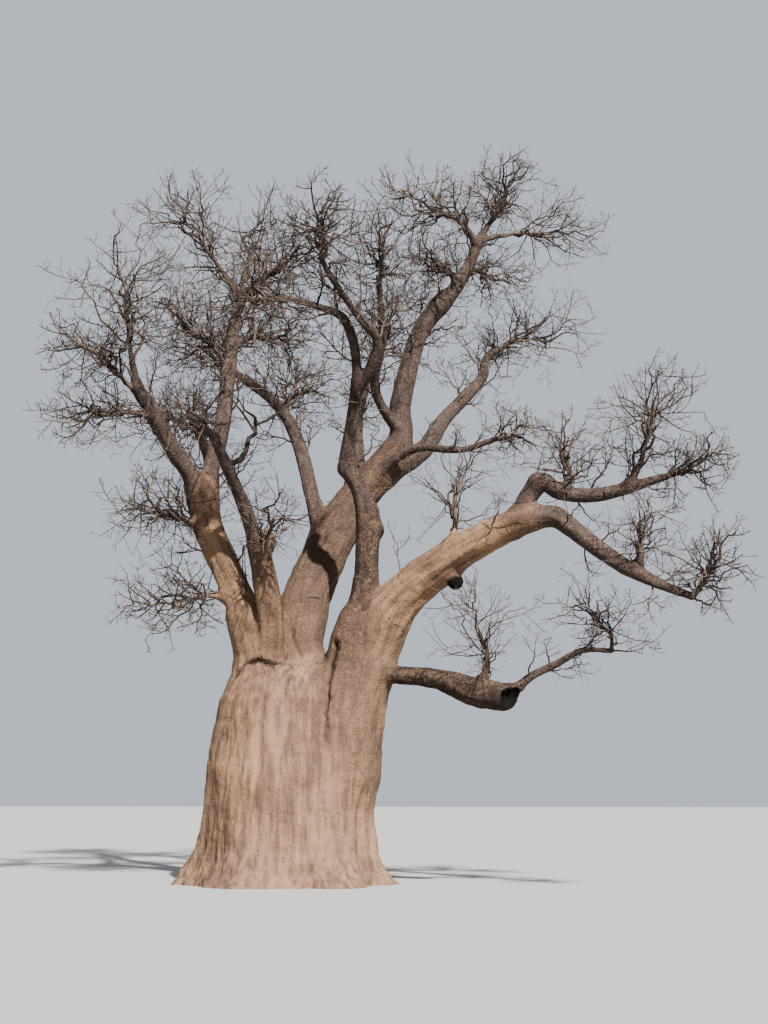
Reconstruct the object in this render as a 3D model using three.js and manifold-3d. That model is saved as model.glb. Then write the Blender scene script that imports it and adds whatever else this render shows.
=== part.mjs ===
// A bare baobab, as it stands in the dry season: a swollen trunk, the stems that its ridges part into and
// the boughs that these carry, a great arm and a low arm on the right, and the leafless twigs of each bough.
// The origin is at the middle of the flat cut at ground level. +Z is up, +X runs to the side of the great
// arm, and +Y runs from the tree's front to its back.
import * as THREE from "three";
import { mergeVertices } from "three/addons/utils/BufferGeometryUtils.js";
import Module from "manifold-3d";

const wasm = await Module();
wasm.setup();

// Sizes below are metres, and the solids are millimetres.
const MM = 1000;
// What two neighbouring solids leave free between them, in metres.
const GAP = 0.0005;
const GOLDEN_ANGLE = Math.PI * (3 - Math.sqrt(5));

const BARK = { color: 0x9c8270, roughness: 0.9, metalness: 0 };
const BOUGH_BARK = { color: 0x8f7767, roughness: 0.9, metalness: 0 };
const TWIG_BARK = { color: 0x6e5c50, roughness: 0.95, metalness: 0 };

// The bole: its half width, half depth and middle at each height, with toes round its foot.
const BOLE = [
  { z: 0.0, wide: 2.85, deep: 2.7, x: 0.0 },
  { z: 0.35, wide: 2.6, deep: 2.45, x: 0.02 },
  { z: 0.9, wide: 2.38, deep: 2.25, x: 0.04 },
  { z: 1.9, wide: 2.24, deep: 2.12, x: 0.06 },
  { z: 3.1, wide: 2.17, deep: 2.0, x: 0.1 },
  { z: 4.1, wide: 2.1, deep: 1.85, x: 0.15 },
  { z: 4.8, wide: 1.98, deep: 1.65, x: 0.24 },
  { z: 5.3, wide: 1.72, deep: 1.4, x: 0.38 },
  { z: 5.7, wide: 1.3, deep: 1.05, x: 0.55 },
  { z: 5.95, wide: 0.6, deep: 0.55, x: 0.7 },
];
const TOES = { count: 7, swell: 0.085, fade: 0.9, turn: 0.6 };
const BOLE_SIDES = 26;
const HORN_SIDES = 10;
// How many sides a limb has, by its greatest radius: the first row whose radius it is over.
const LIMB_SIDES = [{ over: 0.4, sides: 10 }, { over: 0.2, sides: 8 }, { over: 0, sides: 6 }];
// How many steps a limb has for each stretch between two points of its way.
const LIMB_STEPS = 1.3;

// The ridges that rise out of the bole and part into the stems. A way is a list of points on the middle
// line: across, to the back and up. Thick gives the radius at places spread evenly along it.
const HORNS = [
  {
    thick: [1.3, 0.88, 0.56, 0.48],
    way: [[-0.45, -0.1, 2.4], [-0.7, -0.2, 4.7], [-0.86, -0.3, 6.0], [-1.15, -0.35, 7.05]],
  },
  {
    thick: [1.3, 0.82, 0.62, 0.62],
    way: [[0.4, 0.1, 3.4], [0.22, 0.3, 5.3], [0.12, 0.4, 6.3], [0.25, 0.75, 7.25]],
  },
  {
    thick: [1.0, 0.78, 0.54, 0.45],
    way: [[1.25, -0.35, 3.0], [1.6, -0.6, 4.8], [1.75, -0.75, 6.0], [1.95, -0.9, 6.85]],
  },
  {
    thick: [1.0, 0.68, 0.56, 0.58],
    way: [[1.2, -0.2, 3.5], [2.05, -0.45, 5.05], [2.45, -0.6, 6.1], [2.75, -0.8, 6.95]],
  },
];

// The limbs, each with the one that it grows from. A limb starts inside its parent and is cut clear of it.
const LIMBS = {
  left_stem: {
    from: "trunk", thick: [0.48, 0.42, 0.4, 0.41, 0.41],
    way: [
      [-0.85, -0.3, 6.2], [-1.25, -0.4, 7.4], [-1.75, -0.6, 8.5],
      [-2.15, -0.8, 9.55], [-2.35, -1.0, 10.55],
    ],
  },
  middle_stem: {
    from: "trunk", thick: [0.4, 0.38, 0.36, 0.33, 0.25],
    way: [[-0.4, -0.4, 5.1], [-0.4, -0.6, 6.0], [-0.35, -0.9, 7.1], [-0.5, -1.1, 8.1], [-0.7, -1.3, 9.05]],
  },
  centre_stem: {
    from: "trunk", thick: [0.6, 0.63, 0.64, 0.6, 0.52, 0.44],
    way: [
      [0.1, 0.4, 6.2], [0.25, 0.8, 7.55], [0.65, 1.3, 8.75],
      [1.05, 1.8, 9.85], [1.75, 2.2, 11.0], [2.65, 2.3, 12.05],
    ],
  },
  right_stem: {
    from: "trunk", thick: [0.5, 0.41, 0.33, 0.28],
    way: [[1.75, -0.7, 5.35], [2.0, -0.9, 6.65], [2.25, -1.0, 8.1], [2.3, -1.0, 9.8]],
  },
  great_arm: {
    from: "trunk", thick: [0.5, 0.56, 0.57, 0.5, 0.41, 0.32],
    way: [
      [2.2, -0.5, 5.05], [2.65, -0.7, 6.5], [3.25, -1.1, 7.5],
      [4.2, -1.6, 8.2], [5.35, -2.2, 8.8], [6.7, -2.9, 9.25],
    ],
  },
  low_arm: {
    from: "trunk", thick: [0.21, 0.23, 0.26, 0.37, 0.22],
    way: [[2.15, -0.5, 5.5], [2.95, -0.9, 5.45], [4.3, -1.4, 5.25], [5.35, -1.9, 4.85], [6.2, -2.2, 4.85]],
  },
  back_left_bough: {
    from: "trunk", thick: [0.42, 0.37, 0.3, 0.24, 0.2, 0.16],
    way: [
      [-0.7, 0.35, 5.1], [-0.95, 0.5, 6.3], [-1.75, 1.4, 8.2],
      [-2.85, 3.0, 10.3], [-3.2, 4.2, 12.05], [-3.9, 5.4, 13.7],
    ],
  },
  left_outer_bough: {
    from: "left_stem", thick: [0.28, 0.23, 0.21, 0.22, 0.16],
    way: [
      [-2.25, -1.0, 10.25], [-2.55, -1.4, 10.9], [-2.9, -1.9, 11.45],
      [-3.2, -2.4, 12.1], [-3.6, -3.2, 12.9],
    ],
  },
  left_tall_bough: {
    from: "left_stem", thick: [0.28, 0.23, 0.22, 0.22, 0.17, 0.15],
    way: [
      [-2.3, -1.0, 10.15], [-2.05, -0.8, 11.35], [-1.85, -0.4, 12.65],
      [-1.85, 0.0, 14.15], [-1.8, 0.4, 15.55], [-1.75, 0.8, 16.75],
    ],
  },
  middle_bough: {
    from: "middle_stem", thick: [0.23, 0.19, 0.17, 0.13],
    way: [[-0.65, -1.3, 8.8], [-0.85, -1.8, 9.65], [-1.05, -2.4, 10.3], [-1.4, -3.6, 11.35]],
  },
  leader: {
    from: "centre_stem", thick: [0.42, 0.34, 0.31, 0.28, 0.26, 0.25],
    way: [
      [2.3, 2.3, 11.6], [2.85, 2.3, 12.6], [2.85, 2.3, 13.6],
      [3.1, 2.3, 14.8], [3.5, 2.3, 15.95], [4.2, 2.3, 16.9],
    ],
  },
  arching_bough: {
    from: "centre_stem", thick: [0.25, 0.21, 0.2, 0.17, 0.12],
    way: [[0.65, 1.6, 9.7], [0.25, 2.0, 11.1], [-0.2, 2.7, 12.6], [-1.05, 3.5, 14.1], [-2.55, 4.4, 15.4]],
  },
  back_bough: {
    from: "centre_stem", thick: [0.36, 0.29, 0.21, 0.15],
    way: [[1.3, 2.1, 10.2], [1.4, 3.4, 11.9], [1.25, 4.8, 13.9], [1.5, 6.2, 15.85]],
  },
  right_bough: {
    from: "centre_stem", thick: [0.33, 0.27, 0.2, 0.18, 0.16, 0.13, 0.12],
    way: [
      [2.5, 2.3, 11.6], [3.5, 2.5, 12.3], [4.1, 3.05, 13.4], [4.93, 4.0, 14.54],
      [5.25, 4.5, 15.15], [5.28, 4.8, 15.65], [5.5, 4.9, 15.95],
    ],
  },
  thin_bough: {
    from: "centre_stem", thick: [0.14, 0.14, 0.11, 0.09, 0.07],
    way: [[2.0, 2.0, 11.25], [2.8, 1.6, 11.9], [3.6, 1.2, 12.1], [4.7, 0.6, 11.85], [5.6, 0.2, 12.0]],
  },
  right_tall_bough: {
    from: "right_stem", thick: [0.28, 0.24, 0.22, 0.17, 0.15],
    way: [[2.4, -1.0, 9.35], [2.1, -1.2, 10.4], [1.8, -1.5, 11.05], [2.0, -2.1, 12.0], [2.2, -2.8, 13.0]],
  },
  front_left_bough: {
    from: "right_tall_bough", thick: [0.14, 0.13, 0.11, 0.09, 0.07],
    way: [[2.2, -2.7, 12.75], [2.2, -3.3, 13.65], [2.0, -4.0, 14.3], [1.45, -4.7, 14.4], [0.8, -5.4, 14.4]],
  },
  front_right_bough: {
    from: "right_tall_bough", thick: [0.14, 0.15, 0.12, 0.09, 0.08],
    way: [
      [2.2, -2.7, 12.7], [2.65, -3.2, 13.35], [2.8, -3.6, 13.85],
      [2.35, -4.2, 14.35], [1.75, -5.0, 15.15],
    ],
  },
  leader_side_bough: {
    from: "leader", thick: [0.18, 0.15, 0.13, 0.11, 0.08],
    way: [[2.8, 2.1, 12.9], [2.35, 1.5, 13.5], [2.25, 1.0, 14.1], [2.55, 0.2, 15.05], [2.55, -0.6, 16.35]],
  },
  leader_top: {
    from: "leader", thick: [0.25, 0.19, 0.15, 0.11],
    way: [[4.05, 2.3, 16.7], [4.65, 2.3, 17.4], [5.0, 2.3, 18.1], [5.35, 2.3, 18.9]],
  },
  upper_arm: {
    from: "great_arm", thick: [0.25, 0.24, 0.21, 0.19, 0.17, 0.15, 0.1],
    way: [
      [6.2, -2.6, 9.0], [6.6, -2.8, 9.75], [7.0, -2.9, 10.15], [7.45, -3.0, 9.85],
      [8.3, -3.1, 9.75], [9.15, -3.2, 9.9], [9.95, -3.3, 10.1],
    ],
  },
  lower_arm: {
    from: "great_arm", thick: [0.3, 0.27, 0.23, 0.19, 0.14, 0.09],
    way: [
      [6.45, -2.8, 9.2], [7.25, -3.1, 9.2], [7.85, -3.5, 8.7],
      [8.85, -4.2, 7.8], [9.75, -5.0, 7.15], [10.35, -5.6, 6.8],
    ],
  },
  low_arm_end: {
    from: "low_arm", thick: [0.13, 0.11, 0.09, 0.07, 0.06],
    way: [[5.95, -2.1, 4.75], [6.6, -2.3, 5.25], [7.25, -2.5, 5.55], [7.9, -2.8, 5.85], [8.6, -3.1, 5.8]],
  },
};

// The masses of twigs. Each leaves its limb at a share of the limb's length, and fills a space round its
// middle, given by half its width, depth and height.
const MASSES = {
  left_low_twigs: { on: "left_outer_bough", at: 0.8, middle: [-4.6, -4.0, 11.85], half: [1.5, 1.4, 0.95] },
  left_far_twigs: { on: "left_outer_bough", at: 0.9, middle: [-4.4, -4.6, 13.4], half: [1.45, 1.6, 1.05] },
  left_upper_twigs: { on: "left_outer_bough", at: 1, middle: [-4.0, -3.4, 15.6], half: [1.7, 1.8, 1.45] },
  left_inner_twigs: { on: "left_tall_bough", at: 0.62, middle: [-2.85, -1.4, 15.2], half: [1.3, 1.55, 1.45] },
  crown_left_twigs: { on: "left_tall_bough", at: 1, middle: [-3.15, 0.4, 18.75], half: [1.65, 1.9, 1.95] },
  crown_back_twigs: { on: "left_tall_bough", at: 0.82, middle: [-1.7, 3.0, 19.0], half: [1.4, 1.8, 1.75] },
  crown_middle_twigs: { on: "left_tall_bough", at: 0.9, middle: [-0.3, 0.4, 17.6], half: [1.35, 1.6, 1.4] },
  tall_bough_twigs: { on: "left_tall_bough", at: 0.72, middle: [-0.5, 0.8, 15.3], half: [1.25, 1.5, 1.0] },
  front_top_twigs: { on: "front_right_bough", at: 1, middle: [1.6, -5.5, 16.05], half: [1.35, 1.6, 1.4] },
  front_left_twigs: { on: "front_left_bough", at: 1, middle: [0.25, -6.1, 14.0], half: [1.3, 1.5, 1.25] },
  side_bough_twigs: { on: "leader_side_bough", at: 1, middle: [2.6, -0.9, 17.1], half: [1.35, 1.65, 1.45] },
  back_top_twigs: { on: "back_bough", at: 1, middle: [2.2, 6.8, 17.6], half: [2.1, 2.2, 1.9] },
  leader_left_twigs: { on: "leader_top", at: 0.86, middle: [3.6, 1.6, 19.7], half: [1.65, 1.6, 1.05] },
  leader_top_twigs: { on: "leader_top", at: 1, middle: [6.0, 2.6, 20.2], half: [1.45, 1.6, 1.35] },
  leader_right_twigs: { on: "leader_top", at: 0.93, middle: [7.6, 3.2, 19.2], half: [1.7, 1.7, 1.15] },
  leader_under_twigs: { on: "leader_top", at: 0.5, middle: [5.8, 3.4, 17.8], half: [1.25, 1.4, 1.0] },
  leader_inner_twigs: { on: "leader_top", at: 0.35, middle: [3.9, 1.4, 17.6], half: [1.15, 1.4, 1.05] },
  right_bough_twigs: { on: "right_bough", at: 1, middle: [6.75, 5.3, 16.6], half: [2.1, 2.0, 1.4] },
  thin_bough_twigs: { on: "thin_bough", at: 1, middle: [6.2, 0.0, 12.1], half: [1.15, 1.3, 0.95] },
  arm_first_twigs: { on: "great_arm", at: 0.66, middle: [4.7, -2.0, 10.5], half: [1.4, 1.5, 1.45] },
  arm_second_twigs: { on: "upper_arm", at: 0.5, middle: [7.6, -3.0, 10.9], half: [1.2, 1.4, 1.1] },
  arm_upper_twigs: { on: "upper_arm", at: 0.82, middle: [9.75, -3.4, 11.6], half: [1.6, 1.8, 1.4] },
  arm_end_twigs: { on: "upper_arm", at: 1, middle: [10.7, -3.8, 10.2], half: [1.15, 1.4, 1.05] },
  lower_arm_twigs: { on: "lower_arm", at: 0.66, middle: [9.3, -4.6, 8.5], half: [1.2, 1.35, 0.9] },
  lower_arm_end_twigs: { on: "lower_arm", at: 1, middle: [10.75, -5.9, 7.35], half: [1.15, 1.4, 1.2] },
  low_arm_twigs: { on: "low_arm", at: 0.72, middle: [5.25, -2.2, 6.7], half: [1.6, 1.6, 1.35] },
  low_arm_end_twigs: { on: "low_arm_end", at: 1, middle: [8.25, -3.2, 6.6], half: [1.45, 1.5, 1.25] },
  left_side_twigs: { on: "left_stem", at: 0.3, middle: [-3.05, -1.2, 7.4], half: [1.55, 1.6, 1.3] },
  left_stem_twigs: { on: "left_stem", at: 0.72, middle: [-3.35, -2.0, 9.7], half: [1.45, 1.6, 1.25] },
  back_left_twigs: { on: "back_left_bough", at: 1, middle: [-5.0, 6.6, 14.5], half: [2.0, 2.2, 1.8] },
  middle_bough_twigs: { on: "middle_bough", at: 1, middle: [-1.6, -4.6, 11.5], half: [1.25, 1.5, 1.2] },
  middle_stem_twigs: { on: "middle_stem", at: 0.85, middle: [0.1, -3.0, 9.4], half: [1.1, 1.4, 1.05] },
  arch_end_twigs: { on: "arching_bough", at: 1, middle: [-3.8, 5.0, 16.5], half: [1.8, 1.9, 1.55] },
  arch_middle_twigs: { on: "arching_bough", at: 0.7, middle: [-0.5, 4.2, 14.9], half: [1.45, 1.6, 1.35] },
};

// How the twigs of a mass branch. The stem runs from the limb to the mass's middle, branches fan out from it
// to the edge of the space, and side twigs stand off the branches.
const STEM = {
  spans: 2, thick: 0.075, tip: 0.045, most: 0.62, reach: 0.9, lean: 0.6, crook: 0.07, sides: 5,
};
const BRANCH = { count: 5, spans: 3, thick: 0.045, rise: 0.3, crook: 0.1, sides: 3, back: -0.5 };
const SIDE_TWIG = { every: 3, spans: 2, length: 0.55, spread: 0.85, lift: 0.2, crook: 0.3, sides: 3 };
// Where on its stem a branch leaves: by how far it points ahead, less a seeded part, and never nearer the limb.
const BRANCH_FOOT = { middle: 0.6, ahead: 0.4, seeded: 0.15, least: 0.3 };
// Where on its branch a side twig leaves: a share of the length, and a seeded part.
const SIDE_TWIG_FOOT = { first: 0.35, seeded: 0.3 };
// How far along its length a crooked twig turns from its first heading to its end.
const BEND_SHARE = 0.45;
// How much nearer to its own space's middle than to a neighbour's a twig stays, and how clear of a limb.
const SPACE_MARGIN = 0.03;
const LIMB_CLEARANCE = 0.03;
// The shares of the way to the edge that a branch tries to reach, the longest first.
const BRANCH_TRIES = [0.97, 0.85, 0.7, 0.55];

// Each twig of a mass has a number: the stem 1, the branches from 16 on, and a side twig 16 times its
// branch's. Each seeded draw has one too, and those that make a path crooked start at 10.
const STEM_NUMBER = 1;
const NUMBER_STEP = 16;
const DRAWS = { turn: 2, branchFoot: 3, sideTwigFoot: 4, sideTwigTurn: 5, crook: 10 };
const HASH = { start: 2166136261, first: 16777619, second: 1540483477, range: 4294967296 };

// A seeded number from 0 to 1 for a twig's own number and the draw's.
function chance(mass, twig, draw) {
  let h = HASH.start;
  for (const key of [mass, twig, draw]) {
    h = Math.imul(h ^ key, HASH.first);
    h = Math.imul(h ^ (h >>> 13), HASH.second);
    h ^= h >>> 15;
  }
  return (h >>> 0) / HASH.range;
}

const vector = ([x, y, z]) => new THREE.Vector3(x, y, z);

// The radius at a share of a limb's length.
function thicknessAt(thick, t) {
  const place = t * (thick.length - 1);
  const i = Math.min(Math.floor(place), thick.length - 2);
  return THREE.MathUtils.lerp(thick[i], thick[i + 1], place - i);
}

// Over this upward share, a path counts as upright, and its first side direction is level.
const UPRIGHT = 0.9;

// Two directions square to a path at each of its points, turned as little as possible from one to the next.
function framesAlong(path) {
  let side = null;
  return path.map((p, i) => {
    const before = path[Math.max(i - 1, 0)];
    const after = path[Math.min(i + 1, path.length - 1)];
    const along = after.clone().sub(before).normalize();
    side ??= Math.abs(along.z) > UPRIGHT ? new THREE.Vector3(1, 0, 0) : new THREE.Vector3(0, 0, 1);
    side = side.clone().addScaledVector(along, -side.dot(along)).normalize();
    return { along, side, other: side.clone().cross(along) };
  });
}

// A closed cylinder that is bent along a path, with its own radius at each point of the path. A last radius
// of nothing gives it a point.
function bentCylinder(path, radii, sides, grow = 0) {
  const steps = path.length - 1;
  const frames = framesAlong(path);
  const geometry = new THREE.CylinderGeometry(radii[steps] > 0 ? 1 : 0, 1, 1, sides, steps);
  const position = geometry.getAttribute("position");
  for (let i = 0; i < position.count; i++) {
    const step = Math.round((position.getY(i) + 0.5) * steps);
    const { along, side, other } = frames[step];
    const round = new THREE.Vector2(position.getX(i), position.getZ(i)).normalize();
    const r = radii[step] + grow;
    const past = step === 0 ? -grow : step === steps ? grow : 0;
    const p = path[step].clone()
      .addScaledVector(side, round.x * r)
      .addScaledVector(other, round.y * r)
      .addScaledVector(along, past)
      .multiplyScalar(MM);
    position.setXYZ(i, p.x, p.y, p.z);
  }
  return geometry;
}

// Corners of a shape that are nearer than this, in millimetres, are one.
const WELD = 0.001;

function solidOf(geometry) {
  geometry.deleteAttribute("normal");
  geometry.deleteAttribute("uv");
  const merged = mergeVertices(geometry, WELD);
  return new wasm.Manifold(new wasm.Mesh({
    numProp: 3,
    vertProperties: new Float32Array(merged.getAttribute("position").array),
    triVerts: new Uint32Array(merged.index.array),
  }));
}

function meshOf(name, solid, finish) {
  const made = solid.getMesh();
  const geometry = new THREE.BufferGeometry();
  const points = new Float32Array(made.numVert * 3);
  for (let i = 0; i < made.numVert; i++) {
    points.set(made.vertProperties.subarray(i * made.numProp, i * made.numProp + 3), i * 3);
  }
  geometry.setAttribute("position", new THREE.BufferAttribute(points, 3));
  geometry.setIndex(new THREE.BufferAttribute(new Uint32Array(made.triVerts), 1));
  geometry.computeVertexNormals();
  const mesh = new THREE.Mesh(geometry, new THREE.MeshStandardMaterial(finish));
  mesh.name = name;
  return mesh;
}

// The largest of a solid's separate pieces, because a cut can leave a scrap on the far side.
function largestPiece(solid) {
  return solid.decompose().reduce((a, b) => (b.volume() > a.volume() ? b : a));
}

// A limb or horn as points and radii, with so many steps for each stretch between the points of its way.
function courseOf({ way, thick }, stepsEach) {
  const curve = new THREE.CatmullRomCurve3(way.map(vector), false, "catmullrom", 0.5);
  const steps = Math.round((way.length - 1) * stepsEach);
  const shares = Array.from({ length: steps + 1 }, (_, i) => i / steps);
  return { path: shares.map((t) => curve.getPoint(t)), radii: shares.map((t) => thicknessAt(thick, t)) };
}

function limbSides(radii) {
  return LIMB_SIDES.find(({ over }) => Math.max(...radii) > over).sides;
}

// The bole with its toes, which fade upwards into a round trunk. It grows upwards too, so that a limb is cut
// clear of its flat shoulders.
function boleSolid(grow = 0) {
  const steps = BOLE.length - 1;
  const geometry = new THREE.CylinderGeometry(1, 1, 1, BOLE_SIDES, steps);
  const position = geometry.getAttribute("position");
  for (let i = 0; i < position.count; i++) {
    const ring = BOLE[Math.round((position.getY(i) + 0.5) * steps)];
    const x = position.getX(i);
    const y = -position.getZ(i);
    const toe = Math.cos(TOES.count * Math.atan2(y, x) + TOES.turn + Math.sin(2 * Math.atan2(y, x)));
    const swell = 1 + TOES.swell * toe * Math.exp(-ring.z / TOES.fade);
    position.setXYZ(
      i,
      (ring.x + x * (ring.wide * swell + grow)) * MM,
      y * (ring.deep * swell + grow) * MM,
      (ring.z + grow) * MM,
    );
  }
  return solidOf(geometry);
}

function trunkSolid(grow = 0) {
  return HORNS.reduce((trunk, horn) => {
    const { path, radii } = courseOf(horn, LIMB_STEPS);
    return trunk.add(solidOf(bentCylinder(path, radii, HORN_SIDES, grow)));
  }, boleSolid(grow));
}

const group = new THREE.Group();
group.name = "baobab_tree";

const trunk = trunkSolid();
const grown = { trunk: trunkSolid(GAP) };
const courses = {};
group.add(meshOf("trunk", trunk, BARK));

for (const [name, limb] of Object.entries(LIMBS)) {
  const course = courseOf(limb, LIMB_STEPS);
  const sides = limbSides(course.radii);
  const solid = Object.values(grown).reduce(
    (left, neighbour) => left.subtract(neighbour),
    solidOf(bentCylinder(course.path, course.radii, sides)),
  );
  courses[name] = course;
  grown[name] = solidOf(bentCylinder(course.path, course.radii, sides, GAP));
  group.add(meshOf(name, largestPiece(solid), limb.from === "trunk" ? BARK : BOUGH_BARK));
}

// How far out of a mass's space a point is: under 1 is inside it.
function shareOut(mass, p) {
  const [x, y, z] = [p.x, p.y, p.z].map((v, i) => (v - mass.middle[i]) / mass.half[i]);
  return Math.hypot(x, y, z);
}

function inOwnSpace(mass, p) {
  const own = shareOut(mass, p);
  return own <= 1 && Object.values(MASSES).every((m) => m === mass || shareOut(m, p) > own + SPACE_MARGIN);
}

function touchesLimb(path, thick) {
  return Object.values(courses).some(({ path: line, radii }) =>
    line.some((q, i) => {
      const next = line[Math.min(i + 1, line.length - 1)];
      const middle = q.clone().lerp(next, 0.5);
      const reach = radii[i] + thick + LIMB_CLEARANCE;
      return path.some((p) => p.distanceTo(q) < reach || p.distanceTo(middle) < reach);
    }));
}

// Whether a twig stays in its mass's own space and clear of the limbs.
function hasRoom(mass, path, thick) {
  const free = path.slice(1);
  return free.every((p) => inOwnSpace(mass, p)) && !touchesLimb(free, thick);
}

// A point part way along a path, and the path's direction there.
function placeOn(path, share) {
  const place = share * (path.length - 1);
  const i = Math.min(Math.floor(place), path.length - 2);
  return {
    point: path[i].clone().lerp(path[i + 1], place - i),
    along: path[i + 1].clone().sub(path[i]).normalize(),
  };
}

// A direction that no twig grows in, from which a twig's side directions are worked out.
const ASKEW = new THREE.Vector3(0.31, 0.17, 1);

// Two directions square to a direction and to each other.
function sidesOf(along) {
  const side = ASKEW.clone().cross(along).normalize();
  return [side, along.clone().cross(side)];
}

// A push in a seeded direction, as long as size.
function nudge(mass, twig, draw, size) {
  const [x, y, z] = [0, 1, 2].map((i) => chance(mass, twig, draw + i) - 0.5);
  return new THREE.Vector3(x, y, z).multiplyScalar(2 * size);
}

// A crooked path that leaves start along heading and ends at end.
function crookedPath(start, heading, end, spans, crook, mass, twig) {
  const length = start.distanceTo(end);
  const bend = start.clone().addScaledVector(heading, length * BEND_SHARE);
  return Array.from({ length: spans + 1 }, (_, i) => {
    const t = i / spans;
    const p = start.clone().multiplyScalar((1 - t) ** 2)
      .addScaledVector(bend, 2 * t * (1 - t))
      .addScaledVector(end, t * t);
    return i === 0 || i === spans ? p : p.add(nudge(mass, twig, DRAWS.crook + 3 * i, crook * length));
  });
}

// The stem of a mass, from the middle line of its limb towards the mass's middle.
function stemOf(mass, seed) {
  const { path, radii } = courses[mass.on];
  const { point, along } = placeOn(path, mass.at);
  const middle = vector(mass.middle);
  const end = point.clone().lerp(middle, STEM.reach);
  const heading = end.clone().sub(point).normalize().add(along.multiplyScalar(STEM.lean)).normalize();
  const limb = thicknessAt(radii, mass.at);
  return {
    path: crookedPath(point, heading, end, STEM.spans, STEM.crook, seed, STEM_NUMBER),
    thick: Math.min(STEM.thick, limb * STEM.most),
    tip: STEM.tip,
    sides: STEM.sides,
  };
}

// The branches of a mass. One goes on from its stem, and the others fan out round that to the edge of the
// space, each turned by the golden angle from the one before and leaving the stem further back. One that has
// no room is tried again shorter.
function branchesOf(mass, seed, stem) {
  const forward = vector(mass.middle).sub(stem.path[0]).normalize();
  const [side, other] = sidesOf(forward);
  const turn = chance(seed, STEM_NUMBER, DRAWS.turn) * 2 * Math.PI;
  const made = [];
  for (let j = 0; j < BRANCH.count; j++) {
    const number = NUMBER_STEP + j;
    const ahead = 1 - ((1 - BRANCH.back) * j) / (BRANCH.count - 1);
    const across = Math.sqrt(1 - ahead * ahead);
    const angle = turn + j * GOLDEN_ANGLE;
    const out = forward.clone().multiplyScalar(ahead)
      .addScaledVector(side, across * Math.cos(angle))
      .addScaledVector(other, across * Math.sin(angle));
    const back = BRANCH_FOOT.seeded * chance(seed, number, DRAWS.branchFoot);
    const foot = BRANCH_FOOT.middle + BRANCH_FOOT.ahead * ahead - back;
    const share = THREE.MathUtils.clamp(foot, BRANCH_FOOT.least, 1);
    const { point, along } = placeOn(stem.path, share);
    const heading = along.clone().add(new THREE.Vector3(0, 0, BRANCH.rise)).normalize();
    for (const reach of BRANCH_TRIES) {
      const end = vector(mass.middle).add(out.clone().multiply(vector(mass.half)).multiplyScalar(reach));
      const path = crookedPath(point, heading, end, BRANCH.spans, BRANCH.crook, seed, number);
      if (!hasRoom(mass, path, BRANCH.thick)) continue;
      made.push({ path, thick: BRANCH.thick, tip: 0, sides: BRANCH.sides, number });
      break;
    }
  }
  return made;
}

// The side twig of a branch, which stands off it part way along and turns upwards.
function sideTwigOf(seed, branch) {
  const length = branch.path[0].distanceTo(branch.path[branch.path.length - 1]);
  const number = branch.number * NUMBER_STEP;
  const seeded = SIDE_TWIG_FOOT.seeded * chance(seed, number, DRAWS.sideTwigFoot);
  const share = SIDE_TWIG_FOOT.first + seeded;
  const { point, along } = placeOn(branch.path, share);
  const [side, other] = sidesOf(along);
  const angle = chance(seed, number, DRAWS.sideTwigTurn) * 2 * Math.PI;
  const heading = along.clone().multiplyScalar(Math.cos(SIDE_TWIG.spread))
    .addScaledVector(side, Math.cos(angle) * Math.sin(SIDE_TWIG.spread))
    .addScaledVector(other, Math.sin(angle) * Math.sin(SIDE_TWIG.spread));
  heading.z += SIDE_TWIG.lift;
  const step = (length * SIDE_TWIG.length) / SIDE_TWIG.spans;
  const path = [point];
  for (let i = 1; i <= SIDE_TWIG.spans; i++) {
    heading.normalize().add(nudge(seed, number, DRAWS.crook + 3 * i, SIDE_TWIG.crook)).normalize();
    path.push(path[i - 1].clone().addScaledVector(heading, step));
  }
  return { path, thick: branch.thick * (1 - share), tip: 0, sides: SIDE_TWIG.sides };
}

function twigSolid({ path, thick, tip, sides }) {
  const radii = path.map((_, i) => THREE.MathUtils.lerp(thick, tip, i / (path.length - 1)));
  return solidOf(bentCylinder(path, radii, sides));
}

const boxesMeet = (a, b) => [0, 1, 2].every((i) => a.min[i] < b.max[i] && b.min[i] < a.max[i]);

const standing = [];
function meetsAnotherMass(solid) {
  const box = solid.boundingBox();
  return standing.some((s) => boxesMeet(box, s.boundingBox()) && solid.intersect(s).volume() > 0);
}

Object.entries(MASSES).forEach(([name, mass], seed) => {
  const stem = stemOf(mass, seed);
  const branches = branchesOf(mass, seed, stem);
  const sideTwigs = branches
    .filter((_, j) => j % SIDE_TWIG.every === 0)
    .map((branch) => sideTwigOf(seed, branch))
    .filter((twig) => hasRoom(mass, twig.path, twig.thick));
  const fused = [...branches, ...sideTwigs]
    .map(twigSolid)
    .filter((solid) => !meetsAnotherMass(solid))
    .reduce((solid, twig) => solid.add(twig), twigSolid(stem));
  const cleared = Object.values(grown).reduce((solid, limb) => solid.subtract(limb), fused);
  const solid = largestPiece(cleared);
  standing.push(solid);
  group.add(meshOf(name, solid, TWIG_BARK));
});

export default group;
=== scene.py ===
"""A bare baobab: a swollen forked trunk, its stems, boughs and long low arms, and a crown of leafless twigs.

Metres, +Z up, the origin at the middle of the trunk's foot. +X is the great arm's side, and +Y is the back.
"""

import math
from collections import namedtuple

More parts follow.
